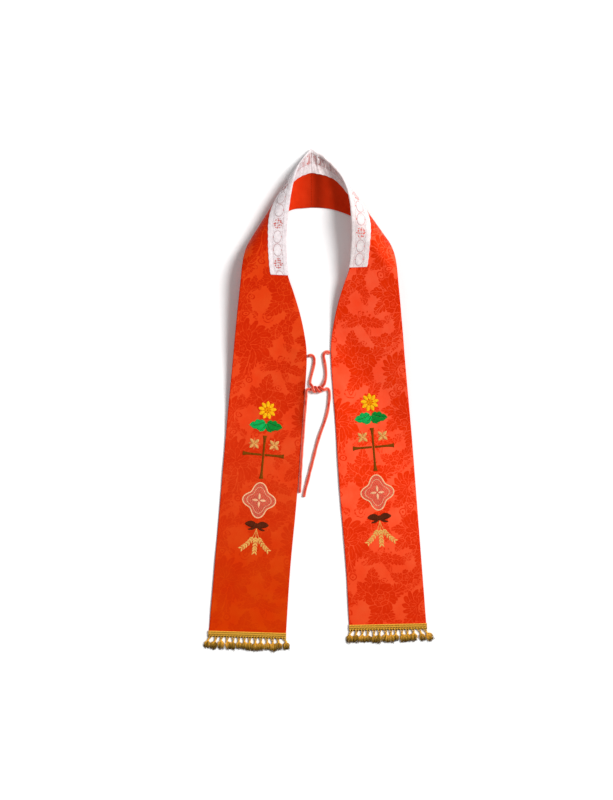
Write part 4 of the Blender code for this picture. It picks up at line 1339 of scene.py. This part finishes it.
def round_about(centre, radius, lobes, first):
    """Directions set evenly round a centre: where each starts, and which way it points."""
    for k in range(lobes):
        angle = first + 2 * math.pi * k / lobes
        way = np.array([math.cos(angle), math.sin(angle)])
        yield np.array(centre) + way * radius, way


sewn = {name: [] for name in SPOOLS}


def sew_petal(spool, *form):
    """One petal in satin stitch, in a colour of thread."""
    line, bulge = petal(*form)
    sewn[spool].append(satin(line - bulge, line + bulge))


def sew_flower(spool, centre, radius, lobes, first, length, *form):
    """Petals in satin stitch, set evenly round a centre."""
    for at, way in round_about(centre, radius, lobes, first):
        sew_petal(spool, at, at + way * length, *form)


# The cross: a shaft and two arms, which widen at their ends
SHAFT_HALF = 2.2
FLARE = np.linspace(0, 1, 60)
flare = 2.3 + 2.6 * abs(2 * FLARE - 1) ** 6
CROSS_UP = (336.0, 426.0)       # its foot and its top
CROSS_BAR = (386.0, 43.0)       # where its arms are, and half their length
shaft = CROSS_UP[0] + (CROSS_UP[1] - CROSS_UP[0]) * FLARE
sewn["brown"].append(satin(np.stack([-flare, shaft], 1), np.stack([flare, shaft], 1)))
bar = CROSS_BAR[1] * (2 * FLARE - 1)
for part in (bar < -SHAFT_HALF, bar > SHAFT_HALF):
    sewn["brown"].append(satin(np.stack([bar[part], CROSS_BAR[0] + flare[part]], 1),
                               np.stack([bar[part], CROSS_BAR[0] - flare[part]], 1)))

# A four-leaved flower in each upper corner of the cross, with a stamen between its petals.
# Of each flower: where its petals start, their number, the way of the first, their length, half
# width and bluntness. A stamen has its start, length and half width.
FLOWERS = ((-21, 408), (21, 408))
FOUR_LEAVED = (2.2, 4, math.pi / 4, 11, 3.7)
STAMEN = (2.6, 9, 0.55)
EYE = (2.2, 0.5)
for middle in FLOWERS:
    sew_flower("pale_gold", middle, *FOUR_LEAVED)
    for at, way in round_about(middle, STAMEN[0], 4, 0.0):
        stamen = at + way * STAMEN[1] * FLARE[:, None]
        aside = STAMEN[2] * way[::-1] * (-1, 1)
        sewn["pale_gold"].append(satin(stamen - aside, stamen + aside))
    ends = np.array(middle) + [(-EYE[0], 0), (EYE[0], 0)]
    sew_petal("wheat", *ends, *EYE)

# Leaves under the rosette: thread, base and tip, half width, bow of the midrib and lobes
LEAVES = [("leaf_green", (-2, 455), (-35, 446), 12, 3, 3),
          ("dark_green", (2, 455), (35, 446), 12, -3, 3),
          ("leaf_green", (0, 452), (-13, 434), 6.5, 1.5, 2),
          ("dark_green", (0, 452), (13, 434), 6.5, -1.5, 2)]
for spool, base, tip, wide, bow, teeth in LEAVES:
    line, bulge = petal(base, tip, wide, 0.8, bow, teeth)
    for turn in (-1, 1):
        ahead = np.concatenate([(line + bulge * turn)[3:], np.repeat(line[-1:], 3, axis=0)])
        sewn[spool].append(satin(line, ahead))
    sewn["dark_green" if spool == "leaf_green" else "leaf_green"].append(running(line[2:-6]))

ROSETTE = (0.0, 480.0)
ROSETTE_ROUND = (6.5, 9, math.pi / 2, 12.5, 4.4, 0.6)
ROSETTE_HEART = (1.2, 6, 0.3, 6.6, 2.7, 0.6)
sew_flower("yellow", ROSETTE, *ROSETTE_ROUND)
sew_flower("orange", ROSETTE, *ROSETTE_HEART)

# The medallion: a rim of four rounded sides, a finer line inside it, a flower and rows of open
# stitches
MEDALLION = (0.0, 290.0)
MEDALLION_HALF = (34.5, 37.0)
RIMS = ((1.0, 1.3), (0.74, 0.6))    # each line's size for the rim's, and half its width
IN_MIDDLE = (2.0, 4, math.pi / 2, 13, 3.0, 0.8)
ROW_PITCH = 1.25
ROW_STITCH = 4.2
angle = np.linspace(0, 2 * np.pi, 181)
reach = 1 / np.hypot(np.cos(angle) / MEDALLION_HALF[0], np.sin(angle) / MEDALLION_HALF[1])
reach = reach * (0.85 + 0.15 * np.cos(4 * angle))
rim = np.stack([np.cos(angle), np.sin(angle)], 1) * reach[:, None]
rim_out = unit(np.stack([np.gradient(rim[:, 1]), -np.gradient(rim[:, 0])], 1))
for share, wide in RIMS:
    sewn["cream"].append(satin(MEDALLION + rim * share - rim_out * wide,
                               MEDALLION + rim * share + rim_out * wide))
sew_flower("cream", MEDALLION, *IN_MIDDLE)
right_side = rim[(angle <= np.pi / 2) | (angle >= 1.5 * np.pi)]
right_side = right_side[np.argsort(right_side[:, 1])]
for row in np.arange(-MEDALLION_HALF[1] + 1.5, MEDALLION_HALF[1] - 1, ROW_PITCH):
    out = np.interp(row, right_side[:, 1], right_side[:, 0]) - 1.0
    if out > 1.5:
        ends = np.array([(-out, row), (out, row)]) + MEDALLION
        sewn["pink"].append(running(ends, ROW_STITCH))

# Three sprigs hang from the bow, each a stem with pairs of leaflets: their ends and bows
STEM_FOOT = (0.0, 230.0)
SPRIGS = (((-28, 186), 5), ((0, 180), 0), ((28, 186), -5))
STEM_HALF = 0.55
LEAFLETS = np.linspace(0.36, 0.96, 6)   # where they grow, in shares of the stem
LEAFLET_LEAN = 0.58
LEAFLET = (0.8, 9.0, 1.9)               # its base and tip, out from the stem, and half its width
for end, bow in SPRIGS:
    line = petal(STEM_FOOT, end, 0, 1, bow)[0]
    sewn["wheat"].append(satin(line - (STEM_HALF, 0), line + (STEM_HALF, 0)))
    for share in LEAFLETS:
        i = int(share * (len(line) - 1))
        way = unit(line[min(i + 1, len(line) - 1)] - line[i - 1])
        for turn in (-1, 1):
            lean = LEAFLET_LEAN * turn
            out = np.array([way[0] * math.cos(lean) - way[1] * math.sin(lean),
                            way[0] * math.sin(lean) + way[1] * math.cos(lean)])
            sew_petal("wheat", line[i] + out * LEAFLET[0], line[i] + out * LEAFLET[1], LEAFLET[2])

# The bow: two loops with a lighter hollow, two tails and the knot between them
BOW = (0.0, 236.0)
BOW_ENDS = ((25, 3), (7, 1), (19, 2.6), (18, -9))   # of a loop, its hollow and a tail
for turn in (-1, 1):
    loop, fold_from, fold_to, tail = (np.add(BOW, (along * turn, up)) for along, up in BOW_ENDS)
    sew_petal("dark_brown", BOW, loop, 7.2, 0.6, 1.5 * turn)
    sew_petal("rust", fold_from, fold_to, 2.3)
    sew_petal("dark_brown", BOW, tail, 2.8, 0.5, -2.0 * turn)
sew_petal("dark_brown", np.add(BOW, (0, -5)), np.add(BOW, (0, 6)), 4.2, 0.5)


def on_half(lay, x, up, off):
    """A place over the face, x to the right of the column's middle."""
    neck, outer = cut_line(up)
    inward = COLUMN_IN - lay.side * x
    share = (neck[..., 0] - inward) / (neck[..., 0] - outer[..., 0])
    place, normal = laid(lay, up, share * width_at(up))
    return place + normal * (FACE_OVER[1] + off)[..., None], normal


draw = np.random.default_rng(23)
share = np.linspace(0, 1, STITCH_POINTS)
for name, (lit, shaded) in SPOOLS.items():
    rayon, start = new_material("rayon_" + name)
    along, around, own = start.attribute("thread").parts()
    ply = ((along + around * 0.5) * (2 * math.pi / 0.5)).sine()
    # Painted light and shade: each stitch between its thread's lit and shaded colour
    lit_and_shaded = (own * 0.8 + (ply * 0.5 + 0.5) * 0.2).blend(colour(*shaded), colour(*lit))
    start.surface(Base_Color=lit_and_shaded, Roughness=0.34 + own * 0.1,
                  Specular_IOR_Level=0.4, Specular_Tint=colour(*lit), Sheen_Weight=0.05,
                  Sheen_Tint=colour(*lit), Normal=start.bump(ply * 0.03, 1.0))
    ends = np.concatenate(sewn[name])
    ends = ends + draw.normal(0, STITCH_STRAYS, ends.shape)
    span = np.linalg.norm(ends[:, 1] - ends[:, 0], axis=1)
    line = ends[:, :1] + (ends[:, 1:] - ends[:, :1]) * share[:, None]
    arch = np.minimum(STITCH_ARCH[0] + STITCH_ARCH[1] * span, STITCH_HIGHEST)[:, None]
    off = arch * np.sin(np.pi * share) ** 0.5 - STITCH_SINKS
    half_thick = STITCH * (1 - 0.3 * abs(2 * share - 1) ** 3)
    shade = np.clip(draw.normal(0.62, 0.2, len(ends)), 0, 1)
    for side, lay in LAYS.items():
        path, normal = on_half(lay, line[..., 0], line[..., 1], off)
        skein = Skein()
        skein.add(path, half_thick[None], STITCH_SIDES, shade, 0.85, normal)
        work = skein.piece("embroidery_{}_{}".format(name, side), rayon)
        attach(work, "root")
